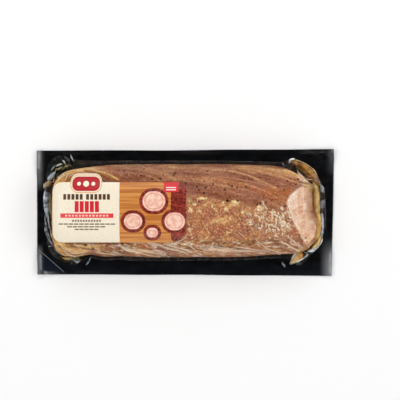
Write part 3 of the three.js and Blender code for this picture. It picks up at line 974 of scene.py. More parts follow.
def surface(tree, output, colour, roughness, normal=None, sockets=None):
    """A Principled shader on the output, with any other sockets by name."""
    inputs = {"Base Color": colour, "Roughness": roughness, **(sockets or {})}
    if normal is not None:
        inputs["Normal"] = normal
    shader = put(tree, "ShaderNodeBsdfPrincipled", inputs)
    tree.links.new(shader.outputs[0], output.inputs["Surface"])
    return shader


def bump(tree, height, strength, distance):
    inputs = {"Height": height, "Strength": strength, "Distance": distance}
    return put(tree, "ShaderNodeBump", inputs).outputs[0]


def wet_material(name, strength, scale, roughness, shine, soft=0.0):
    """A wet, uneven food surface in the mesh's own colours, mottled at a scale (per metre), with
    a low shine under the film and a little light scattered inside."""
    material, tree, output = new_material(name)
    wet = use_group(tree, MOTTLE, {"Colour": own_tint(tree), "Strength": strength, "Scale": scale})
    normal = bump(tree, wet.outputs["Height"], 0.5, 0.3 / scale)
    surface(tree, output, wet.outputs["Colour"], roughness, normal, {
        "Specular IOR Level": shine,
        "Subsurface Weight": soft,
        "Subsurface Radius": (0.003, 0.0012, 0.0008),
        "Subsurface Scale": 1.0,
    })
    return material


def pork_material():
    """Seasoned pork in the mesh's own colours: a fine grain, dark and pale streaks along the
    fibres, cream and brown flecks where the meat is coarse, creases on the cut face, and thin
    white lines of painted highlight where the film pleats."""
    material, tree, output = new_material("seasoned pork")
    flow = put(tree, "ShaderNodeAttribute", attribute_name="flow").outputs["Vector"]
    fibre, coarse, pleat, face = (mark(tree, name) for name in ("fibre", "coarse", "pleat", "face"))
    fine = grain(tree, object_place(tree), 800.0, 2.0, 0.7)
    swing = between(tree, fine, 0.34, 0.66, -0.38, 0.34)
    share = maths(tree, "SUBTRACT", 1.0, maths(tree, "MULTIPLY", face, 0.7))
    lit = put(tree, "ShaderNodeVectorMath", {0: own_tint(tree)}, operation="SCALE")
    tree.links.new(maths(tree, "ADD", maths(tree, "MULTIPLY", swing, share), 1.0), lit.inputs["Scale"])
    colour = lit.outputs[0]

    streaks = grain(tree, slanted(tree, flow, 0, (0.13, 0.8, 1)), 1.0, 4.0, 0.65)
    specks = grain(tree, flow, 0.5, 3.0, 0.65)
    grit = grain(tree, slanted(tree, flow, 0.7, (0.4, 0.6, 1)), 1.0, 3.0, 0.6)
    crease = grain(tree, slanted(tree, flow, 0.2, (0.8, 0.35, 1)), 1.0, 3.0, 0.65)
    drawn = grain(tree, slanted(tree, flow, 0.1, (0.12, 0.75, 1)), 1.0, 2.0, 0.5)
    line = maths(tree, "ABSOLUTE", maths(tree, "SUBTRACT", drawn, 0.55))
    flecks = [
        (streaks, 0.48, 0.32, 0.5, fibre, (104, 56, 36)),
        (streaks, 0.53, 0.68, 0.42, fibre, (230, 184, 140)),
        (specks, 0.48, 0.34, 0.6, coarse, (138, 76, 48)),
        (grit, 0.52, 0.68, 0.6, coarse, (236, 200, 150)),
        (crease, 0.47, 0.34, 0.6, face, (196, 142, 112)),
        (crease, 0.54, 0.66, 0.6, face, (244, 224, 202)),
        # Thin white lines of painted highlight on the film's pleats.
        (line, 0.018, 0.0, 0.4, pleat, (246, 224, 192)),
    ]
    for value, none_at, all_at, strength, mask, over in flecks:
        amount = maths(tree, "MULTIPLY", between(tree, value, none_at, all_at, 0.0, strength), mask)
        colour = blend(tree, amount, colour, paint(*over))

    along_fibre = maths(tree, "MULTIPLY", streaks, fibre)
    height = maths(tree, "ADD", along_fibre, maths(tree, "MULTIPLY", grit, coarse))
    surface(tree, output, colour, 0.5, bump(tree, height, 0.5, 0.0008), {"Specular IOR Level": 0.08})
    return material


def film_material():
    """Clear packing film: see-through, with a gloss that grows at a glancing angle, over a crinkled
    normal, and milky in its own tint where it is folded and where highlights are painted: slanted
    dashes where it glints, and fine lines along its crinkled pleats."""
    material, tree, output = new_material("clear film")
    place = put(tree, "ShaderNodeTexCoord").outputs["Object"]
    crinkle = use_group(tree, CRINKLE, {"Scale": 260.0})
    crinkled = mark(tree, "crinkle")
    depth = maths(tree, "ADD", maths(tree, "MULTIPLY", crinkled, 0.9), 0.1)
    height = maths(tree, "MULTIPLY", crinkle.outputs["Height"], depth)
    normal = bump(tree, height, 0.6, 0.0012)

    # Painted highlights: milky slanted dashes where the glint mark is set, and milky lines along the
    # crinkled pleats.
    short = grain(tree, slanted(tree, place, 1.0, (330, 900, 300)), 1.0, 2.0, 0.6)
    glints = maths(tree, "MULTIPLY", between(tree, short, 0.56, 0.66, 0.0, 0.9), mark(tree, "glint"))
    drawn = grain(tree, slanted(tree, place, 0.16, (150, 1000, 500)), 1.0, 2.0, 0.6)
    pleat_glints = maths(tree, "MULTIPLY", between(tree, drawn, 0.64, 0.72, 0.0, 0.22), crinkled)
    # The milky share: the haze of folds, with the painted highlights.
    folded = maths(tree, "ADD", maths(tree, "MAXIMUM", glints, pleat_glints), mark(tree, "haze"), clamp=True)

    clear = put(tree, "ShaderNodeBsdfTransparent")
    gloss = put(tree, "ShaderNodeBsdfGlossy", {"Roughness": 0.14, "Normal": normal})
    angle = put(tree, "ShaderNodeFresnel", {"IOR": 1.42})
    share = maths(tree, "MULTIPLY", angle.outputs[0], mark(tree, "gloss"))
    thin = put(tree, "ShaderNodeMixShader", {0: share, 1: clear.outputs[0], 2: gloss.outputs[0]})
    milky = put(tree, "ShaderNodeBsdfPrincipled", {
        "Base Color": own_tint(tree),
        "Roughness": 0.3,
        "Specular IOR Level": 0.12,
        "Normal": normal,
    })
    both = put(tree, "ShaderNodeMixShader", {0: folded, 1: thin.outputs[0], 2: milky.outputs[0]})
    tree.links.new(both.outputs[0], output.inputs["Surface"])
    return material


def web_material():
    """Black packing film: near black with a faint navy cast, glossy, with fine drawn wrinkles,
    and a painted pale reflection on its bent corners.
    """
    material, tree, output = new_material("black film")
    slow = grain(tree, object_place(tree, (60, 140, 100)), 1.0, 2.0)
    colour = blend(tree, between(tree, slow, 0.35, 0.7), paint(3, 3, 4), paint(7, 9, 13))
    colour = blend(tree, mark(tree, "navy"), colour, paint(17, 22, 34))
    # Painted reflection: pale grey where the sheen mark is set, for the glare on the bent corners.
    colour = blend(tree, mark(tree, "sheen"), colour, paint(136, 138, 142))
    fine = grain(tree, object_place(tree, (90, 220, 100)), 1.0, 3.0, 0.6)
    normal = bump(tree, fine, 0.18, 0.002)
    surface(tree, output, colour, between(tree, fine, 0.3, 0.7, 0.16, 0.26), normal)
    return material


# Pieces


def web_edges(a, b):
    """The web's plan: a rectangle whose edges wander a little inwards, with fine saw teeth on the
    lower half of its left edge."""
    teeth = 0.3 * np.abs((b * TEETH) % 1 * 2 - 1) * bell((b - 0.42) / 0.24)
    left = -HALF_LENGTH + 1.2 * (b - 0.55) ** 2 + 1.1 * smooth((0.3 - b) / 0.5) + teeth
    right = HALF_LENGTH - 2.3 * (1 - b) ** 1.6 - 0.4 * smooth((b - 0.9) * 10)
    top = HALF_WIDTH - 1.4 * (1 - a) - 0.5 * np.sin(np.pi * a) * np.cos(7 * a) ** 2
    bottom = -HALF_WIDTH + 1.5 * (1 - a) + 0.35 * np.sin(np.pi * a) * np.sin(9 * a) ** 2
    return mix(left, right, a), mix(bottom, top, b)


def peel_depth(x, y):
    """How far past the peel corner's crease a point lies: 0 on it, and 1 at the corner."""
    return (PEEL_ALONG - HALF_LENGTH - x) / PEEL_ALONG + (PEEL_UP - HALF_WIDTH - y) / PEEL_UP - 1


def web_lift(x, y):
    """The rim's height: a ramp past the flat area times its ripple and the peel corner's lift,
    and the bend of the ends near the corners, which grows as the square of the way out."""
    over_x, over_y = np.abs(x) - FLAT_HALF_LENGTH, np.abs(y) - FLAT_HALF_WIDTH
    past = np.hypot(np.maximum(0, over_x), np.maximum(0, over_y))
    ramp_up = smooth((past - RIM_START) / RIM_REACH)
    ripple = RIM_RIPPLE * (RIM_LEVEL + np.sin(0.062 * x + 0.8) + np.sin(0.13 * y + 0.05 * x))
    peeled = PEEL_LIFT * PEEL_ALONG * np.maximum(0, peel_depth(x, y))
    from_y = np.where((x > 0) & (y > 0), BEND_FROM_Y_UPPER_RIGHT, BEND_FROM_Y)
    near_corner = smooth((np.abs(y) - from_y) / BEND_SPREAD)
    bend = BEND_RISE * np.maximum(0, np.abs(x) - BEND_START) ** 2 * near_corner
    return ramp_up * (ripple + peeled) + bend


def web_sheen(x, y):
    """A painted reflection: how pale the web is painted where light glares on it, at the lower right
    corner, a little of the upper right one, and a streak at each corner of the left end."""
    right = 0.9 * smooth((x - 123) / 13) * smooth((-20 - y) / 30)
    right = right + 0.16 * smooth((x - 128) / 9) * smooth((y - 30) / 14)
    upper_left = 0.42 * bell((x + 134.5) / 2.6) * smooth((y - 18) / 14)
    lower_left = 0.42 * bell((x + 134.5) / 2.4) * smooth((-28 - y) / 8)
    return right + upper_left + lower_left


def make_web():
    """The black backing web, a sheet with most of its grid lines near its rim."""
    a = towards_ends(WEB_POINTS[0], 0.5)[:, None]
    b = towards_ends(WEB_POINTS[1], 0.7)[None, :]
    x, y = web_edges(a, b)
    top = np.stack([x, y, WEB_THICKNESS + web_lift(x, y)], -1)
    navy = smooth(peel_depth(x, y) * 8) + 0.3 * smooth((-46 - y) / 6)
    made = sheet("black_web", top, WEB_THICKNESS, {"navy": navy, "sheen": web_sheen(x, y)})
    made.data.materials.append(web_material())
    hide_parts("backing_web")
    return made


def make_crease():
    """The pale crease across the peel corner, a hair of film folded over on the web."""
    x = np.linspace(-HALF_LENGTH + 1.2, -HALF_LENGTH + PEEL_ALONG - 3.5, CREASE_STATIONS)
    y = -HALF_WIDTH + PEEL_UP * (1 - (x + HALF_LENGTH) / PEEL_ALONG)
    ends = closing(CREASE_STATIONS, 8)[None]
    paths = np.stack([x, y], -1)[None]
    rings = along(paths, CREASE_HALF_WIDTH * ends, CREASE_HEIGHT * ends, on_bare_web)
    made = lofts("peel_crease", rings)
    material, tree, output = new_material("stretched film")
    surface(tree, output, paint(112, 118, 130), 0.35)
    made.data.materials.append(material)
    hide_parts("backing_web")
    return made


def make_meat():
    """The fillet: columns of points from the lower outline over the spine to the upper one, on a
    flat floor, drawn in from the film by the gap under it."""
    xs = stations(MEAT_POINTS[0])[:, None]
    row, side = ladder(MEAT_POINTS[1], 0)
    x, y, plan_x, plan_y = crown_plan(xs, row[None, :], side[None, :])
    height = meat_height(x, y)
    near_rim = smooth((row[None, :] - 0.985) / 0.015)
    inset = 1 - 0.006 * smooth((row[None, :] - 0.6) / 0.4)
    rings = np.stack([
        LOIN_MID + (plan_x - LOIN_MID) * inset,
        CENTRE_Y + (plan_y - CENTRE_Y) * inset,
        POUCH_FLOOR + MEAT_LIFT + mix(height, 0.0, near_rim),
    ], -1)
    u, v = unrolled(x, y)
    pleat, face = low_band(x, y), cut_face(x, y)
    coarse = coarse_zone(x, y) * (1 - pleat)
    left = smooth((-70 - x) / 20)
    end = smooth(np.abs(u - x) / 6)
    flank = smooth(np.abs(v - y) / 10)
    fibre = (0.6 + 0.4 * np.maximum(pleat, left)) * (1 - 0.7 * coarse) * (1 - face)
    marks = {
        "tint": meat_colour(plan_x, plan_y, height),
        "flow": np.stack([u, streak(u, v), 0 * u], -1),
        "coarse": np.maximum(coarse, 0.15 * end * (1 - face)),
        "fibre": fibre * (1 - end) * (1 - 0.7 * flank),
        "pleat": np.maximum(0.8 * pleat, 0.2 * left) * (1 - end) * (1 - 0.6 * flank),
        "face": face,
    }
    made = lofts("pork_loin", rings[None], marks)
    made.data.materials.append(pork_material())
    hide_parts("film_pouch")
    return made


# Where the film glints, as place, half sizes and strength, there glossier and with painted milky
# highlights, and where its skirt is dull.
GLINTS = [((84, -11), (15, 13), 1.0), ((62, -4), (9, 10), 0.7)]
DULL_AT = (-113, 44)
DULL_REACH = 17


def skirt_at(x, y):
    """Width, height and foldedness of the film skirt where it leaves the outline at a point."""
    end = smooth((np.abs(x - LOIN_MID) - LOIN_HALF + 14) / 14)
    width = mix(SKIRT_WIDTH, END_SKIRT_WIDTH, end)
    height = mix(SKIRT_HEIGHT, END_SKIRT_HEIGHT, end)
    fold = np.zeros(np.shape(width))
    for fold_x, fold_y, spread, reach, rise in SKIRT_FOLDS.values():
        near = bell(np.hypot(x - fold_x, y - fold_y) / spread)
        width = width + reach * near
        height = height + rise * near
        fold = np.maximum(fold, near)
    return width, height, fold


def way_out(xs, side):
    """The direction in plan that leaves the outline at right angles, and along X at its tips."""
    step = 0.02
    slope = (outline_y(xs + step, side) - outline_y(xs - step, side)) / (2 * step)
    tip = np.abs(xs - LOIN_MID) > LOIN_HALF - step
    return unit(np.stack([np.where(tip, np.sign(xs), -slope * side), np.where(tip, 0, side)], -1))


def film_marks(x, y, plan, height, row, fold):
    """What the film's material reads at each point: haze on the skirt's ridges and on drawn lines,
    crinkles on the low band and the flanks, which bump the normal and carry painted lines of
    highlight, glints left of the cut face, with more gloss and painted milky highlights, gloss on
    steep film and on the skirt, and the milk's tint, warm over the meat."""
    share = np.clip(row - 1, 0, 1)
    past_meat, over_meat = smooth(share * 4), row < 1
    ends = smooth((np.abs(x) - 112) / 8)
    ridges = patches(noise(plan[..., 0], plan[..., 1], (5, 5), 44), 0.35, 0.3)
    haze = 0.3 * smooth((share - 0.1) / 0.3) * ridges * ends * fold
    haze = haze + 0.45 * drapes(x, y) * over_meat

    flank = smooth((CROWN_HEIGHT - height - 9) / 12) * over_meat
    crinkle = np.clip(low_band(x, y) + 0.3 * ends + 0.3 * flank, 0, 1) * (1 - past_meat)
    crinkle = crinkle * (1 - 0.5 * smooth((24 - height) / 8))

    glint = 0
    for (at_x, at_y), (half_x, half_y), strength in GLINTS:
        glint = glint + strength * bell(np.hypot((x - at_x) / half_x, (y - at_y) / half_y))
    glint = np.clip(glint, 0, 1) * (1 - cut_face(x, y)) * over_meat

    steep = smooth((22 - height) / 12) * (1 - 0.8 * bell((row - 1) / 0.06))
    dull = 1 - 0.95 * bell(np.linalg.norm(plan - DULL_AT, axis=-1) / DULL_REACH)
    gloss = mix(0.08 + 0.3 * glint + 0.7 * steep, 0.4 * dull, past_meat)
    milk = mix(tint("film over meat"), tint("film past meat"), past_meat[..., None])
    milk = np.broadcast_to(milk, (*height.shape, 3))
    return {"haze": haze, "crinkle": crinkle, "glint": glint, "gloss": gloss, "tint": milk}


def make_film():
    """The clear film: drawn over the meat, then out and down to the web in a skirt whose folds
    bulge, with a fine crumple, on a flat floor."""
    xs = stations(FILM_POINTS[0])[:, None]
    row, side = ladder(FILM_POINTS[1], SKIRT_ROWS)
    row, side = row[None, :], side[None, :]
    on_meat = np.minimum(row, 1)
    share = np.clip(row - 1, 0, 1)
    x, y, plan_x, plan_y = crown_plan(xs, on_meat, side)
    edge = outline_y(xs, side)
    width, skirt_height, fold = skirt_at(xs, edge)
    out = way_out(xs, side)
    plan_x = mix(plan_x, xs + out[..., 0] * width, share)
    plan_y = mix(plan_y, edge + out[..., 1] * width, share)

    lobe = np.sqrt(np.maximum(0, 1 - share**2.4))
    crumple = 0.25 * noise(plan_x, plan_y, (4, 4), 43) * smooth((1 - share) * 6) * smooth(share * 6)
    skirt = skirt_height * mix((1 - share) ** 2, lobe, fold) * (1 + crumple)
    drawn = smooth(x / 60 - 1)
    drawn_up = skirt_height * mix(on_meat**30, smooth((on_meat - 0.62) / 0.38), drawn)
    cover = soft_max(film_height(x, y), drawn_up, 1.5)
    height = np.where(row > 1, skirt, np.maximum(LEAST_COVER, cover))
    height = np.where(row >= 2, 0.0, height)

    rings = np.stack([plan_x, plan_y, POUCH_FLOOR + height], -1)
    made = lofts("clear_film", rings[None], film_marks(x, y, rings[..., :2], height, row, fold))
    made.data.materials.append(film_material())
    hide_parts("film_pouch")
    return made


def along(paths, half_widths, heights, base, sink=0.0, around=10):
    """Closed folds along paths in plan (fold, station, X Y) on a surface whose height is base: at
    each station a ring in the plane of the surface's normal and the direction across the path,
    its upper half an arch, its underside sunk a little. With both 0, a ring is one point."""
    x, y = paths[..., 0], paths[..., 1]
    slope_x, slope_y = slope_of(base, x, y)
    normal = unit(np.stack([-slope_x, -slope_y, np.ones_like(x)], -1))
    centre = np.stack([x, y, base(x, y)], -1)
    side = unit(np.cross(normal, np.gradient(centre, axis=1)))
    turn = np.arange(around) / around * 2 * np.pi
    out = half_widths[..., None] * np.cos(turn)
    below = np.where(half_widths[..., None] > 0, sink * np.minimum(0, np.sin(turn)), 0)
    rise = heights[..., None] * np.maximum(0, np.sin(turn)) + below
    return centre[:, :, None] + side[:, :, None] * out[..., None] + normal[:, :, None] * rise[..., None]


def on_film(x, y):
    return POUCH_FLOOR + np.maximum(LEAST_COVER, film_height(x, y))


def on_meat_top(x, y):
    return POUCH_FLOOR + MEAT_LIFT + meat_height(x, y)


def on_web(x, y):
    return np.full(np.shape(x), POUCH_FLOOR)


def on_bare_web(x, y):
    return WEB_THICKNESS + CREASE_CLEARANCE + web_lift(x, y)


# Folds drawn up in the film, as half width and height in millimetres and path, then pillows of
# film that stand on the web past the fillet, as colour, share of milk, half widths in pixels,
# heights in millimetres and path, and the amber marinade caught in some, with a second colour.
# The pillows' pale blue-grey and white colours are painted reflections and glints on the film.
FILM_FOLDS = [
    (0.5, 0.6, [(254.6, 237.6), (260, 243), (267.6, 248.5), (278.5, 251.7), (289.3, 252.8)]),
    (0.6, 0.8, [(285, 234.4), (292, 240.5), (301, 248.8)]),
    (1.1, 1.0, [(284.5, 242.5), (291, 247), (300.5, 251.5)]),
    (0.6, 0.7, [(288, 236.6), (296, 242.5), (304, 248.4)]),
    (0.5, 0.5, [(238, 231), (241, 234.5), (244.8, 236.8)]),
    (0.4, 0.5, [(196.4, 243), (201, 241.6), (207, 238.6)]),
    (0.5, 0.6, [(196, 248.5), (210, 248), (224, 249.5), (240, 251), (256.8, 251.7)]),
    (0.6, 0.6, [(119, 245), (127, 250.5), (137, 252), (150, 255.5), (162, 256)]),
    (0.6, 0.6, [(150, 243), (160, 245.5), (170, 249), (180, 251), (190, 255)]),
    (0.45, 0.6, [(163, 242), (172, 243.5), (178, 241.6), (184, 238.4), (188.5, 232)]),
    (0.6, 0.7, [(184, 240), (190, 246), (197, 251)]),
    (0.5, 0.5, [(95, 252.6), (107, 253.6), (118, 255)]),
    (0.5, 0.6, [(60, 246), (68, 251), (79, 253), (88, 251)]),
    (0.5, 0.6, [(66, 254), (75, 256), (84, 254)]),
    (0.9, 0.8, [(297.5, 173.6), (301.5, 176), (305, 179)]),
    (0.35, 0.4, [(284, 169.6), (291, 172), (298, 175.8)]),
    (0.5, 0.5, [(300.5, 231), (303, 239), (304.5, 247)]),
    (0.5, 0.5, [(306.5, 214), (306, 222), (304, 231)]),
    (0.5, 0.5, [(312.8, 213), (315.5, 219), (317, 225)]),
    (0.4, 0.4, [(318.6, 190), (319.4, 203), (319.3, 214), (319.2, 226), (316.5, 238), (309, 246.5)]),
    (0.4, 0.4, [(84, 167.8), (92, 168.4), (98, 170.5)]),
    (0.4, 0.4, [(74, 170), (84, 172.4), (94, 176)]),
]
PILLOWS = [
    ((222, 206, 164), 0.85, [0, 0.7, 0.7, 0.7, 0.7, 0.7, 0.6, 0], [2, 8, 11, 12, 12, 11, 8, 3],
     [(289, 161), (295, 160), (302, 162.3), (308.5, 166), (314, 170.5), (317, 176.5),
      (320, 184), (322, 190)]),
    ((240, 240, 240), 0.9, [0, 1.7, 1.5, 0], [2, 6, 6, 2],
     [(288.8, 163.5), (290.3, 160.8), (293, 159.4), (295, 158.4)]),
    ((226, 230, 234), 0.85, [0, 1.5, 1.6, 0], [2, 5, 5, 1.5],
     [(320, 183.5), (321.6, 186.5), (322.8, 189), (322.6, 192)]),
    ((206, 212, 228), 0.75, [0, 1.0, 1.6, 1.5, 1.0, 0], [2, 5, 6, 6, 5, 2],
     [(320.6, 211), (322, 214.5), (322.4, 222), (322.2, 230), (321.4, 236), (320, 241)]),
    ((222, 224, 226), 0.8, [0, 0.7, 0.9, 0.9, 0], [2, 5, 5, 4, 1.5],
     [(322.4, 233), (322, 240), (319.5, 245), (315.5, 249), (312, 251)]),
    ((220, 226, 232), 0.8, [0, 1.4, 2.0, 1.7, 0], [2, 4, 5, 4, 1.5],
     [(306, 252.5), (309, 250.8), (312.4, 250.4), (315, 248), (316.5, 244.8)]),
    ((228, 228, 224), 0.85, [0, 0.9, 1.0, 0.9, 0], [3, 7, 6, 4, 1.5],
     [(303, 251.6), (307.5, 254.4), (302, 259), (296, 262), (290, 265)]),
    ((214, 218, 226), 0.8, [0, 1.3, 1.1, 0.9, 0], [3, 7, 6, 4, 1.5],
     [(303, 251.4), (297.4, 252.4), (293.6, 256), (291.6, 260.5), (289.6, 264.5)]),
    ((196, 204, 216), 0.85, [0, 1.2, 1.8, 1.3, 0], [3, 5, 6, 4, 2],
     [(46, 188.6), (45, 193), (44.8, 200), (45, 208), (45.6, 215)]),
    ((156, 166, 178), 0.8, [0, 1.9, 2.6, 1.9, 0], [3, 5, 5, 4, 2],
     [(47.2, 190), (46.6, 199), (46.8, 208), (47.4, 216), (49, 225)]),
    ((206, 212, 220), 0.75, [0, 0.5, 0.6, 0.4, 0], [3, 5, 6, 4, 2],
     [(48, 212), (48.6, 219), (49.4, 226), (51, 233), (53.4, 240)]),
    ((170, 176, 186), 0.7, [0, 0.7, 0.8, 0.5, 0], [2, 4, 5, 4, 2],
     [(44.6, 214), (45.4, 222), (46.8, 230), (49.6, 238), (53, 245)]),
    ((212, 196, 158), 0.8, [0, 0.7, 1.0, 0.7, 0], [2, 4, 5, 4, 2],
     [(49.4, 228), (51.6, 236), (54.6, 243), (58.4, 249.6), (62.6, 254.6)]),
    ((104, 104, 84), 0.7, [0, 1.6, 1.8, 1.4, 0], [3, 5, 6, 4, 2],
     [(49.6, 191), (49.8, 197), (50, 204), (50.4, 211), (51.6, 218)]),
    ((196, 198, 200), 0.6, [0, 0.9, 0.3, 0.8, 0.2, 0.6, 0], [2, 3, 3, 3, 2, 2, 1],
     [(44.6, 224), (45.4, 231), (48, 238), (52.4, 244.5), (57, 250.5), (62, 255)]),
    ((168, 176, 188), 0.75, [0, 2.6, 2.6, 0], [4, 7, 7, 4],
     [(47, 181.5), (49.4, 178.6), (52.6, 174.8), (55.6, 171.4)]),
    ((222, 224, 214), 0.9, [0, 1.0, 1.0, 0], [3, 6, 6, 3],
     [(55.6, 167), (58, 165.2), (60.4, 164.4), (63, 164.4)]),
    ((112, 108, 72), 0.7, [0, 2.0, 2.0, 0], [3, 6, 7, 3],
     [(56.6, 170.6), (59.6, 168.6), (62.6, 167.8), (66, 167.8)]),
    ((146, 138, 92), 0.75, [0, 1.5, 1.5, 0], [3, 7, 8, 3],
     [(63, 168.6), (65.6, 166.4), (68.6, 165.6), (72, 165.8)]),
    ((214, 212, 198), 0.85, [0, 0.9, 0.8, 0], [3, 7, 7, 3],
     [(62, 159.6), (63.6, 161.4), (65, 163.4), (66, 166)]),
    ((84, 90, 96), 0.5, [0, 1.5, 1.7, 0], [3, 6, 6, 3],
     [(64, 156), (66.6, 158.4), (68.6, 161), (69.8, 164.4)]),
    ((176, 184, 192), 0.75, [0, 0.7, 0.6, 0], [3, 6, 5, 2],
     [(70.4, 154), (71.4, 157), (72.8, 160), (74, 163)]),
    ((150, 156, 160), 0.7, [0, 0.8, 0.7, 0], [2, 5, 5, 2],
     [(50, 172.4), (51.8, 169.6), (54, 167), (57, 163.4)]),
    ((120, 122, 96), 0.55, [0, 2.0, 2.2, 0], [3, 6, 5, 2],
     [(66, 258.4), (71, 258.6), (76, 259.4), (80, 256.4)]),
    ((214, 218, 220), 0.8, [0, 0.7, 0.9, 0], [2, 4, 4, 2],
     [(68.4, 257.6), (73, 259.8), (77.6, 262), (80, 259)]),
    ((150, 160, 178), 0.6, [0, 0.7, 0.9, 0.6, 0], [1, 3, 3, 2, 1],
     [(90.6, 256.6), (89.8, 259.6), (88.2, 262.2), (86.6, 264.4), (85.4, 265)]),
    ((150, 156, 166), 0.55, [0, 1.3, 1.2, 0], [1, 3, 3, 1],
     [(281.4, 163.4), (283, 164.4), (284.4, 165.6), (286, 166.4)]),
    ((140, 146, 156), 0.5, [0, 1.4, 1.2, 0], [1, 3, 3, 1],
     [(281.5, 262), (283.4, 264), (284.4, 266), (285, 268)]),
]
MARINADE = [
    ((108, 68, 18), (178, 122, 42), [0, 2.8, 4.2, 4.8, 5.0, 4.4, 3.2, 0], [4, 8, 10, 11, 11, 11, 9, 3],
     [(290, 161), (296, 162.8), (302.2, 166), (307, 169.6), (311.4, 174), (314.6, 179),
      (317.2, 184.6), (319, 189)]),
    ((90, 62, 28), (140, 100, 48), [0, 2.2, 3.4, 3.4, 0], [4, 8, 10, 9, 4],
     [(295, 166.6), (301.4, 170.2), (307, 174.6), (311.4, 179.6), (313.8, 185)]),
    ((202, 124, 44), (222, 168, 92), [0, 1.4, 1.6, 0], [8, 13, 13, 8],
     [(303, 167), (306.4, 169.6), (309.6, 173), (312, 177)]),
    ((190, 152, 82), (232, 200, 130), [0, 3.4, 3.8, 3.8, 3.6, 0], [6, 11, 12, 11, 10, 4],
     [(312, 179), (314.8, 186), (316.2, 194), (316.6, 203), (317, 211), (317.6, 217)]),
    ((200, 150, 66), (234, 200, 126), [0, 3.0, 3.4, 3.4, 3.0, 0], [5, 9, 9, 8, 7, 2],
     [(317.4, 207), (317.8, 214), (318.4, 221), (318.2, 229), (316.4, 237), (312.6, 244)]),
    ((190, 150, 70), (222, 194, 132), [0, 1.8, 2.4, 1.8, 0], [3, 6, 7, 5, 2],
     [(319.6, 233), (319.6, 238), (317.4, 243), (313.4, 247.4), (309.6, 250)]),
    ((186, 128, 56), (214, 180, 112), [0, 4.4, 4.6, 3.0, 0], [4, 7, 6, 4, 1.5],
     [(303, 252), (300.4, 254.6), (297.2, 257.4), (293.6, 260.8), (290.6, 264)]),
    ((132, 104, 66), (180, 150, 106), [0, 3.0, 3.2, 2.2, 0], [6, 10, 9, 6, 2],
     [(53, 182), (50, 182.6), (47.4, 184.2), (44.8, 186.2), (43, 188.6)]),
    ((96, 82, 44), (124, 108, 66), [0, 1.7, 2.0, 1.5, 0], [3, 6, 6, 5, 2],
     [(51.6, 194), (50.6, 200), (50.4, 207), (51.4, 214), (53, 221)]),
    ((166, 118, 60), (216, 178, 112), [0, 2.0, 2.8, 3.0, 2.4, 0], [3, 6, 8, 8, 7, 3],
     [(51.8, 222), (53.6, 234), (57, 242), (61, 248.6), (66, 253.6), (72, 257)]),
    ((176, 142, 84), (208, 184, 128), [0, 1.6, 1.8, 0], [3, 6, 6, 3],
     [(60.6, 257), (65, 258.4), (69, 258.4), (73, 256.6)]),
]


def pillow_rings(shapes, scale, tall, seed):
    """Rings of pillows on the web along their paths, with crumpled tops: (rings, crumple)."""
    at = np.linspace(0, 1, PILLOW_STATIONS)
    ends = closing(PILLOW_STATIONS, 8)
    paths, widths, heights = [], [], []
    for _, _, half, high, pixels in shapes:
        steps = np.linspace(0, 1, len(half))
        lift = np.mean(high) * tall / 2 + POUCH_FLOOR
        marks = np.stack(from_photo(*np.transpose(pixels), lift), -1)
        paths.append(curve_through(marks, PILLOW_STATIONS))
        widths.append(np.interp(at, steps, half) * PIXEL * scale * ends)
        heights.append(np.interp(at, steps, high) * tall * ends)
    rings = along(np.array(paths), np.array(widths), np.array(heights), on_web, around=16)
    crumple = layered(rings[..., 0], rings[..., 1], (2.6, 2.6), seed, 0.6)
    above = rings[..., 2] - POUCH_FLOOR
    rings[..., 2] = POUCH_FLOOR + above * (1 + 0.22 * crumple)
    return rings, crumple


def make_pillows():
    """Film pillows past the fillet: milky folds and rims, clearer between, the pale ones painted as
    reflections and glints, mottled by painted light and shade on their crumple.
    """
    rings, crumple = pillow_rings(PILLOWS, 1.0, 0.45, 47)
    milk = np.array([for_mesh(shape[0]) for shape in PILLOWS])[:, None, None]
    share = np.array([shape[1] for shape in PILLOWS])[:, None, None]
    haze = np.clip(share + 0.05 + 0.35 * crumple, 0, 1)
    even = np.ones_like(haze)
    # Painted light and shade: the milk is lightened and darkened with the crumple that lifts the tops.
    shaded = milk * (1 + 0.35 * crumple[..., None])
    marks = {"haze": haze, "crinkle": 0.4 * even, "glint": 0.3 * even, "gloss": even, "tint": shaded}
    made = lofts("film_pillows", rings, marks)
    made.data.materials.append(film_material())
    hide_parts("film_pouch")
    return made


def make_marinade():
    """Amber marinade and fat squeezed into the film's folds."""
    rings, _ = pillow_rings(MARINADE, 0.95, 0.8, 48)
    dark, pale = (np.array([for_mesh(shape[k]) for shape in MARINADE])[:, None, None] for k in (0, 1))
    share = smooth(0.5 + 0.6 * layered(rings[..., 0], rings[..., 1], (5, 5), 47))[..., None]
    made = lofts("marinade", rings, {"tint": mix(dark, pale, share)})
    made.data.materials.append(wet_material("marinade", 0.5, 500.0, 0.22, 0.5, 0.15))
    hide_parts("film_pouch")
    return made


# The crinkles by the cut face: how many, and what share of them lies in the first of two swarms,
# as middle and spread in pixels. Then the wrinkles of drawn film, as middle and spread in pixels,
# slant in degrees and number. Both are raised folds of film whose pale milk is painted highlight.
CRINKLES = 120
FIRST_SHARE = 0.72
SWARMS = [((282, 223), (7.5, 8)), ((263, 217), (7, 8))]
WRINKLES = [
    ((70, 250), (11, 3.6), -24, 14),
    ((63, 175), (7, 3.6), 36, 12),
    ((150, 249.5), (26, 3.2), -22, 26),
    ((238, 250), (26, 2.4), -14, 20),
    ((300, 178), (5, 3), -40, 8),
]


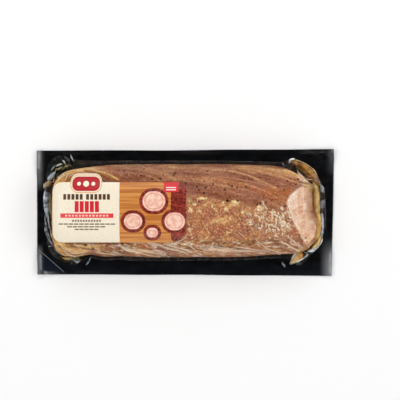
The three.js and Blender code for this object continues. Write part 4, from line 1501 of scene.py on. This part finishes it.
def dashes(rng, middle, spread, slant, turn, lengths, widths, hazes, many):
    """Short wavy folds of film strewn round places in pixels, as paths, half widths, shades and
    hazes: each a straight line at the slant plus a random turn, in degrees, bent by a sine."""
    at = np.linspace(-1, 1, FOLD_STATIONS)
    centre = on_pack(middle + spread * np.clip(rng.standard_normal((many, 2)), -1.8, 1.8))
    aim = np.radians(slant + turn * rng.standard_normal(many))
    length = rng.uniform(*lengths, many)
    wave = 0.5 * np.sin(at[None, :] * 2.2 + rng.uniform(0, 6, many)[:, None])
    way = np.stack([np.cos(aim), np.sin(aim)], -1)
    across = np.stack([-way[:, 1], way[:, 0]], -1)
    paths = centre[:, None] + way[:, None] * (at[None, :] * length[:, None])[..., None]
    paths = paths + across[:, None] * wave[..., None]
    thick = rng.uniform(*widths, many)[:, None] * closing(FOLD_STATIONS, 2)
    return paths, thick, rng.uniform(0.0, 1.0, many), rng.uniform(*hazes, many)


def make_folds():
    """Drawn folds of the film over the meat, the short crinkles by the cut face, thickest below
    and left of it, and fine wrinkles along the lower flank and at the left end, all raised folds
    whose pale milk is painted highlight."""
    taper = closing(FOLD_STATIONS, 4)
    lines = np.array([curve_through(on_pack(pixels), FOLD_STATIONS) for _, _, pixels in FILM_FOLDS])
    wide = 0.75 * np.array([fold[0] for fold in FILM_FOLDS])[:, None] * taper
    high = np.array([fold[1] for fold in FILM_FOLDS])[:, None] * taper

    rng = np.random.default_rng(47)
    first = rng.random(CRINKLES)[:, None] < FIRST_SHARE
    middle = np.where(first, SWARMS[0][0], SWARMS[1][0])
    spread = np.where(first, SWARMS[0][1], SWARMS[1][1])
    sets = [dashes(rng, middle, spread, -56, 26, (0.7, 2.4), (0.3, 0.85), (0.35, 0.85), CRINKLES)]
    for middle, spread, slant, count in WRINKLES:
        middle, spread = np.array(middle), np.array(spread)
        sets.append(dashes(rng, middle, spread, slant, 16, (1.2, 3.8), (0.16, 0.3), (0.3, 0.8), count))
    short, thick, shades, hazes = (np.concatenate(parts) for parts in zip(*sets))

    paths = np.concatenate([lines, short])
    widths = np.concatenate([wide, thick])
    heights = np.concatenate([high, 0.6 * thick])
    rings = along(paths, widths, heights, on_film, sink=0.2)
    shade = np.concatenate([np.full(len(lines), 0.5), shades])[:, None, None, None]
    # Painted highlight: the folds' milk runs from drawn film to white.
    colour = mix(tint("drawn film"), tint("white"), shade) * np.ones(rings.shape)
    haze = np.concatenate([np.full(len(lines), 0.5), hazes])[:, None, None]
    haze = haze * np.ones(rings.shape[:3])
    none = np.zeros(haze.shape)
    marks = {"haze": haze, "crinkle": none, "glint": none, "gloss": none + 0.05, "tint": colour}
    made = lofts("film_folds", rings, marks)
    made.data.materials.append(film_material())
    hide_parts("film_pouch")
    return made


def pebbles(name, centres, radii, flat, colours, seed, material):
    """Uneven closed pebbles lying on the meat (centres by X Y, radii in millimetres): spheres of
    latitude and longitude with random bulges, stretched, turned and flattened, and shortened
    uphill in plan by the cosine of the slope, so that they keep their size on a steep flank."""
    rng = np.random.default_rng(seed)
    many = len(centres)
    lat = np.linspace(-np.pi / 2, np.pi / 2, PEBBLE_ROWS)[None, :, None]
    lon = (np.arange(PEBBLE_SIDES) / PEBBLE_SIDES * 2 * np.pi)[None, None, :]
    bulge = 1 + 0.28 * rng.uniform(-1, 1, (many, PEBBLE_ROWS, PEBBLE_SIDES)) * np.cos(lat)
    stretch = rng.uniform(0.6, 1.5, many)[:, None, None]
    turn = rng.uniform(0, np.pi, many)[:, None, None]
    size = radii[:, None, None]
    u = np.cos(lat) * np.cos(lon) * bulge * size * stretch
    v = np.cos(lat) * np.sin(lon) * bulge * size / stretch
    mid_x, mid_y = centres[:, 0, None, None], centres[:, 1, None, None]
    off_x, off_y = u * np.cos(turn) - v * np.sin(turn), u * np.sin(turn) + v * np.cos(turn)
    slope_x, slope_y = slope_of(dome_height, mid_x, mid_y)
    slope = np.maximum(1e-6, np.hypot(slope_x, slope_y))
    uphill = (off_x * slope_x + off_y * slope_y) / slope * (1 - 1 / np.hypot(1, slope))
    x = mid_x + off_x - uphill * slope_x / slope
    y = mid_y + off_y - uphill * slope_y / slope
    rise = np.minimum(0.5, flat * size) * np.sin(lat)
    rings = np.stack([x, y, on_meat_top(x, y) + rise], -1)
    marks = {"tint": np.broadcast_to(colours[:, None, None, :], rings.shape)}
    made = lofts(name, rings, marks)
    made.data.materials.append(material)
    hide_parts("film_pouch")
    return made


# Where grains of seasoning and flecks of pepper are strewn, as two corners in pixels, and how many
# are tried. Then the flecks that the photograph shows, in pixels.
BITS_AREA = ((186, 198), (298, 247))
BITS_TRIED = 1800
FLECKS_AREA = ((96, 165), (300, 204))
FLECKS_TRIED = 260
PEPPER = [
    (191, 180), (207, 171), (186, 183), (204, 181), (213, 180), (216, 181), (213, 184),
    (205, 187.5), (206.5, 187), (197, 187), (199, 190), (204, 193), (225, 190), (237, 188),
    (246, 187), (227.5, 199), (228.5, 200.5), (227, 201), (230, 197), (237, 196), (238, 201),
    (249, 179), (252, 180), (236, 169), (238, 170), (278, 186), (284, 190), (276, 195),
    (264, 195), (264, 198), (272, 200), (266, 202), (260, 203), (257, 205), (285, 206),
    (291, 178), (287, 181), (290, 184), (296, 184), (299, 179.5), (298, 179), (244, 179),
    (229, 185), (232, 186), (102, 180), (146, 166.5), (150, 167.5), (144, 169), (127, 175),
    (124, 170), (134, 171), (141, 176), (144, 176), (152, 179), (160, 179), (163, 175),
    (174, 175), (175, 173), (118, 171), (199, 202), (215, 203), (66, 244), (86, 245), (93, 249),
    (106, 246), (120, 252), (122, 243.5), (100, 243.5), (300, 235), (306, 238), (202, 243),
    (270, 236),
]


def make_bits():
    """Grains of seasoning and fat in the coarse zone, thinner towards its upper boundary."""
    rng = np.random.default_rng(53)
    centres = on_pack(rng.uniform(*BITS_AREA, (BITS_TRIED, 2)))
    x, y = centres[:, 0], centres[:, 1]
    likely = coarse_zone(x, y) * (1 - 0.7 * low_band(x, y)) * (0.45 + 0.4 * noise(x, y, (8, 6), 54))
    centres = centres[rng.random(len(centres)) < likely]
    many = len(centres)
    radii = np.minimum(0.42 * np.exp(0.42 * rng.standard_normal(many)), 1.1)
    stops = [(0, "rust"), (0.3, "golden"), (0.65, "sinew"), (1, "lump")]
    colours = ramp(rng.beta(1.5, 2.2, many), stops)
    look = wet_material("seasoning", 0.4, 900.0, 0.4, 0.3)
    return pebbles("seasoning_bits", centres, radii, 0.5, colours, 55, look)


def make_pepper():
    """Ground pepper: flecks at the places that the photograph shows, and finer ones strewn
    between them over the upper muscle."""
    rng = np.random.default_rng(59)
    strewn = rng.uniform(*FLECKS_AREA, (FLECKS_TRIED, 2))
    centres = np.concatenate([on_pack(PEPPER), on_pack(strewn)])
    x, y = centres[:, 0], centres[:, 1]
    on_muscle = (coarse_zone(x, y) < 0.6) & (low_band(x, y) < 0.5) & (cut_face(x, y) < 0.4)
    named = np.arange(len(centres)) < len(PEPPER)
    drawn = rng.random(len(centres)) < 0.45
    shown = on_muscle & (under_label(x, y) < 0.3) & drawn | named
    radii = np.where(named, rng.uniform(0.55, 0.95, len(centres)), rng.uniform(0.25, 0.5, len(centres)))
    shade = rng.random((len(centres), 1))
    colours = mix(tint("black pepper"), tint("brown pepper"), shade)
    look = wet_material("ground pepper", 0.8, 1500.0, 0.9, 0.0)
    return pebbles("pepper_flecks", centres[shown], radii[shown], 0.8, colours[shown], 61, look)


def corner_cut(from_end, radius):
    """How far a rounded corner takes the label's edge in at a distance from its end."""
    short = np.maximum(0, radius - from_end)
    return radius - np.sqrt(np.maximum(0, radius * radius - short * short))


def make_label():
    """The label, a thin sheet with rounded corners and a round-shouldered tab, laid over the crown,
    its lower right corner drawn up where it is lost under film."""
    a = np.linspace(0, 1, LABEL_POINTS[0])[:, None]
    b = np.linspace(0, 1, LABEL_POINTS[1])[None, :]
    x = mix(LABEL_LEFT, LABEL_RIGHT, a**1.25)
    left = corner_cut(x - LABEL_LEFT, LEFT_RADIUS)
    right = corner_cut(LABEL_RIGHT - x, RIGHT_RADIUS)
    lost = LOST_RISE * np.clip((x - LABEL_RIGHT + LOST_CORNER) / LOST_CORNER, 0, 1) ** 2.2
    in_tab = TAB_HALF - np.abs(x - TAB_X)
    tab = np.where(in_tab > 0, TAB_RISE - corner_cut(in_tab, TAB_RADIUS), 0)
    bottom = LABEL_BOTTOM + left + lost + 0.25 * noise(x, 0 * x, (4, 4), 50) * smooth((x + 22) / 5)
    y = mix(bottom, LABEL_TOP - np.maximum(left, right) + tab, b)
    x = x + 0 * y
    wave = 0.12 * noise(x, y, (16, 9), 51) + 0.05 * noise(x, y, (5, 4), 52)
    top = np.stack([x, y, POUCH_FLOOR + dome_height(x, y) + LABEL_GAP + wave], -1)
    made = sheet("printed_label", top, LABEL_THICKNESS)
    made.data.materials.append(label_material())
    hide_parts("front_label")
    return made


def box_group():
    """A mask that is 1 inside a box with rounded corners in the plane of Object X and Y, in
    millimetres: its centre, half sizes and corner radius, over a hair's width of edge."""
    inputs = {"X": FLOAT, "Y": FLOAT, "Half X": FLOAT, "Half Y": FLOAT, "Radius": FLOAT}
    group, given, result = new_group("printed box", inputs, {"Mask": FLOAT})
    place = put(group, "ShaderNodeSeparateXYZ", {0: object_place(group, IN_MM)})
    past = []
    for axis, key in enumerate("XY"):
        off = maths(group, "SUBTRACT", place.outputs[axis], given.outputs[key])
        inner = maths(group, "SUBTRACT", given.outputs["Half " + key], given.outputs["Radius"])
        past.append(maths(group, "SUBTRACT", maths(group, "ABSOLUTE", off), inner))
    outer = [maths(group, "MAXIMUM", value, 0.0) for value in past]
    squares = [maths(group, "MULTIPLY", value, value) for value in outer]
    length = maths(group, "SQRT", maths(group, "ADD", squares[0], squares[1]))
    deep = maths(group, "MINIMUM", maths(group, "MAXIMUM", past[0], past[1]), 0.0)
    far = maths(group, "SUBTRACT", maths(group, "ADD", length, deep), given.outputs["Radius"])
    group.links.new(between(group, far, -0.12, 0.12, 1.0, 0.0), result.inputs["Mask"])
    return group


BOX = box_group()


def row_group():
    """A mask for a row of upright blocks: a printed box cut at an even pitch, in millimetres, of
    which the blocks fill the given share."""
    keys = ("X", "Y", "Half X", "Half Y")
    inputs = {key: FLOAT for key in (*keys, "Pitch", "Share")}
    group, given, result = new_group("printed row", inputs, {"Mask": FLOAT})
    place = put(group, "ShaderNodeSeparateXYZ", {0: object_place(group, IN_MM)})
    left = maths(group, "SUBTRACT", given.outputs["X"], given.outputs["Half X"])
    from_left = maths(group, "SUBTRACT", place.outputs[0], left)
    steps = maths(group, "DIVIDE", from_left, given.outputs["Pitch"])
    within = maths(group, "FRACT", steps)
    block = maths(group, "LESS_THAN", within, given.outputs["Share"])
    whole = use_group(group, BOX, {**{key: given.outputs[key] for key in keys}, "Radius": 0.1})
    mask = maths(group, "MULTIPLY", block, whole.outputs["Mask"])
    group.links.new(mask, result.inputs["Mask"])
    return group


ROW = row_group()


def print_box(tree, under, colour, x, y, half_x, half_y, radius):
    """Prints a rounded box of one colour over what is there."""
    sockets = {"X": x, "Y": y, "Half X": half_x, "Half Y": half_y, "Radius": radius}
    return blend(tree, use_group(tree, BOX, sockets).outputs["Mask"], under, colour)


def print_row(tree, under, colour, left, right, y, half_y, count, share):
    """Prints a row of upright blocks, in place of words, from left to right."""
    pitch = (right - left) / (count - 1 + share)
    sockets = {"X": (left + right) / 2, "Y": y, "Half X": (right - left) / 2, "Half Y": half_y,
               "Pitch": pitch, "Share": share}
    return blend(tree, use_group(tree, ROW, sockets).outputs["Mask"], under, colour)


# The label's print, in millimetres in its plane. The picture: the gaps between its boards by Y,
# its ringed rounds by X, Y and half width, and the lines on its flag by Y. The badge: its height,
# half sizes and corner radius, the step between its dots, and their half sizes.
BOARD_GAPS = (18.5, 6.5, -5.5, -17.5)
ROUNDS = [(-46.0, -7.5, 11.0), (-27.5, 10.5, 13.0), (-9.0, -7.5, 12.0), (-29.0, -17.5, 8.0)]
FLAG_LINES = (22.6, 20.6)
BADGE_Y = LABEL_TOP - 1.4
BADGE_HALF_X = 12.9
BADGE_HALF_Y = 7.0
BADGE_RADIUS = 6.0
DOT_STEP = 6.4
DOTS = {-1: 1.7, 0: 2.6, 1: 1.7}

# Rows of blocks in place of words, as colour, left, right, Y, half height, number of blocks and
# the share of its pitch that a block fills.
PRINT_ROWS = [
    ((84, 52, 30), -108.3, -90.8, 14.3, 2.5, 5, 0.72),
    ((84, 52, 30), -87.8, -66.6, 14.3, 2.5, 6, 0.72),
    ((206, 30, 44), -98.0, -76.3, 5.6, 4.9, 5, 0.8),
    ((246, 200, 186), -106.5, -68.0, -2.4, 0.75, 13, 0.6),
    ((122, 108, 92), -100.3, -74.6, -7.0, 0.95, 11, 0.66),
    ((112, 88, 66), -112.6, -62.0, -9.9, 0.55, 11, 0.86),
    ((112, 88, 66), -104.8, -70.8, -12.3, 0.55, 7, 0.86),
    ((112, 88, 66), -98.0, -76.8, -14.6, 0.55, 5, 0.86),
]


def print_picture(tree, place):
    """The label's picture: amber boards, a dark red ground at their right end, ringed rounds of pale
    flesh in a dark red crust, and a red flag with two lines."""
    wood = grain(tree, object_place(tree, (12, 420, 1)), 1.0, 3.0, 0.6)
    picture = blend(tree, between(tree, wood, 0.35, 0.65), paint(178, 104, 42), paint(212, 144, 72))
    for y in BOARD_GAPS:
        picture = print_box(tree, picture, paint(150, 86, 36), -28.7, y, 30, 0.22, 0.1)
    speck = grain(tree, place, 520.0, 3.0, 0.7)
    crust = blend(tree, between(tree, speck, 0.4, 0.62), paint(84, 18, 14), paint(160, 56, 38))
    picture = print_box(tree, picture, crust, 2.0, 3.0, 14.5, 30, 6.0)

    blush = grain(tree, place, 260.0, 2.0)
    flesh = blend(tree, between(tree, blush, 0.38, 0.62), paint(228, 172, 150), paint(244, 204, 184))
    rings = [(0, crust), (2.9, flesh), (4.6, paint(216, 142, 120)), (5.2, flesh)]
    for x, y, wide in ROUNDS:
        for less, colour in rings:
            high = 0.9 * wide - less
            picture = print_box(tree, picture, colour, x, y, wide - less, high, high)
    picture = print_box(tree, picture, paint(206, 36, 42), -12.3, 24.0, 6.6, 5.6, 0.4)
    for y in FLAG_LINES:
        picture = print_box(tree, picture, paint(244, 226, 214), -12.3, y, 4.4, 0.45, 0.2)
    return picture


def print_badge(tree, under, cream):
    """The badge on the label's tab: a red rounded box, ringed in cream and amber, with three dots."""
    for grow, colour in ((1.2, paint(226, 160, 96)), (0.5, cream), (-0.5, paint(176, 22, 34))):
        sizes = BADGE_HALF_X + grow, BADGE_HALF_Y + grow, BADGE_RADIUS + grow
        under = print_box(tree, under, colour, TAB_X, BADGE_Y, *sizes)
    for step, size in DOTS.items():
        x = TAB_X + step * DOT_STEP
        under = print_box(tree, under, paint(246, 232, 214), x, BADGE_Y, size, size, size)
    return under


def label_material():
    """The label's print: a cream panel with a red badge, rows of blocks in place of words, and a
    panel of amber boards with ringed rounds on a dark red ground."""
    material, tree, output = new_material("label print")
    place = object_place(tree)
    fibre = grain(tree, place, 900.0, 3.0)
    cream = blend(tree, between(tree, fibre, 0.35, 0.65), paint(232, 219, 196), paint(240, 229, 207))
    half = (PANEL_EDGE - LABEL_LEFT) / 2 + 6
    whole = print_box(tree, print_picture(tree, place), cream, PANEL_EDGE - half, 0.5, half, 40, 0.1)
    whole = print_badge(tree, whole, cream)
    whole = print_box(tree, whole, paint(222, 58, 62), -87.2, -2.4, 23.7, 2.0, 0.2)
    for colour, *row in PRINT_ROWS:
        whole = print_row(tree, whole, paint(*colour), *row)
    surface(tree, output, whole, 0.4, bump(tree, fibre, 0.08, 0.0004), {"Specular IOR Level": 0.3})
    return material


# The stage, in metres: half the floor's side and its drop under the pack, the side of the square
# lamps, and each lamp's place and power in watts. Then the camera's sensor, in millimetres.
FLOOR_HALF = 3.0
FLOOR_DROP = 0.0003
LAMP_SIDE = 0.4
LAMPS = {
    "left": (-0.7, 0.1, 0.82, 2.7),
    "right": (0.7, 0.05, 0.82, 2.4),
    "upper": (0.0, 0.8, 0.75, 2.6),
    "lower": (0.05, -0.75, 0.8, 1.7),
}
SENSOR = 36


def make_floor():
    """A plain pale floor, a hair below the pack."""
    corners = [(x * FLOOR_HALF, y * FLOOR_HALF, 0) for x, y in ((-1, -1), (1, -1), (1, 1), (-1, 1))]
    mesh = bpy.data.meshes.new("floor")
    mesh.from_pydata(corners, [], [(0, 1, 2, 3)])
    material, tree, output = new_material("pale floor")
    surface(tree, output, (0.92, 0.92, 0.92, 1), 0.9)
    mesh.materials.append(material)
    ground = in_scene("floor", mesh, (0, 0, -FLOOR_DROP))


def make_sky():
    """A soft white sky that is dark straight above."""
    world = bpy.data.worlds.new("studio")
    world.use_nodes = True
    tree = world.node_tree
    tree.nodes.clear()
    up = put(tree, "ShaderNodeSeparateXYZ", {0: put(tree, "ShaderNodeTexCoord").outputs["Generated"]})
    strength = between(tree, up.outputs[2], 0.7, 0.97, 0.75, 0.02)
    sky = put(tree, "ShaderNodeBackground", {"Color": (1, 1, 1, 1), "Strength": strength})
    out = put(tree, "ShaderNodeOutputWorld")
    tree.links.new(sky.outputs[0], out.inputs["Surface"])
    bpy.context.scene.world = world


def make_lamps():
    """Four soft square lamps round the pack, all aimed at its middle."""
    for name, (x, y, z, power) in LAMPS.items():
        light = bpy.data.lights.new(name, "AREA")
        light.shape = "SQUARE"
        light.size = LAMP_SIDE
        light.energy = power
        lamp = in_scene(name, light, (x, y, z))
        lamp.rotation_euler = (-lamp.location).to_track_quat("-Z", "Y").to_euler()


def make_camera():
    """The photograph's camera, straight above, whose frame spans the photograph on the web."""
    lens = bpy.data.cameras.new("camera")
    lens.sensor_width = SENSOR
    lens.lens = SENSOR * CAMERA_HEIGHT / (PHOTO_SIDE * PIXEL)
    place = (CAMERA_X * MM, CAMERA_Y * MM, CAMERA_HEIGHT * MM)
    bpy.context.scene.camera = in_scene("camera", lens, place)
    bpy.context.scene.view_settings.view_transform = "Standard"


make_floor()
make_sky()
make_lamps()
make_camera()
MAKERS = [
    make_web,
    make_crease,
    make_meat,
    make_bits,
    make_pepper,
    make_marinade,
    make_film,
    make_pillows,
    make_folds,
    make_label,
]
for make in MAKERS:
    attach(make(), "root")
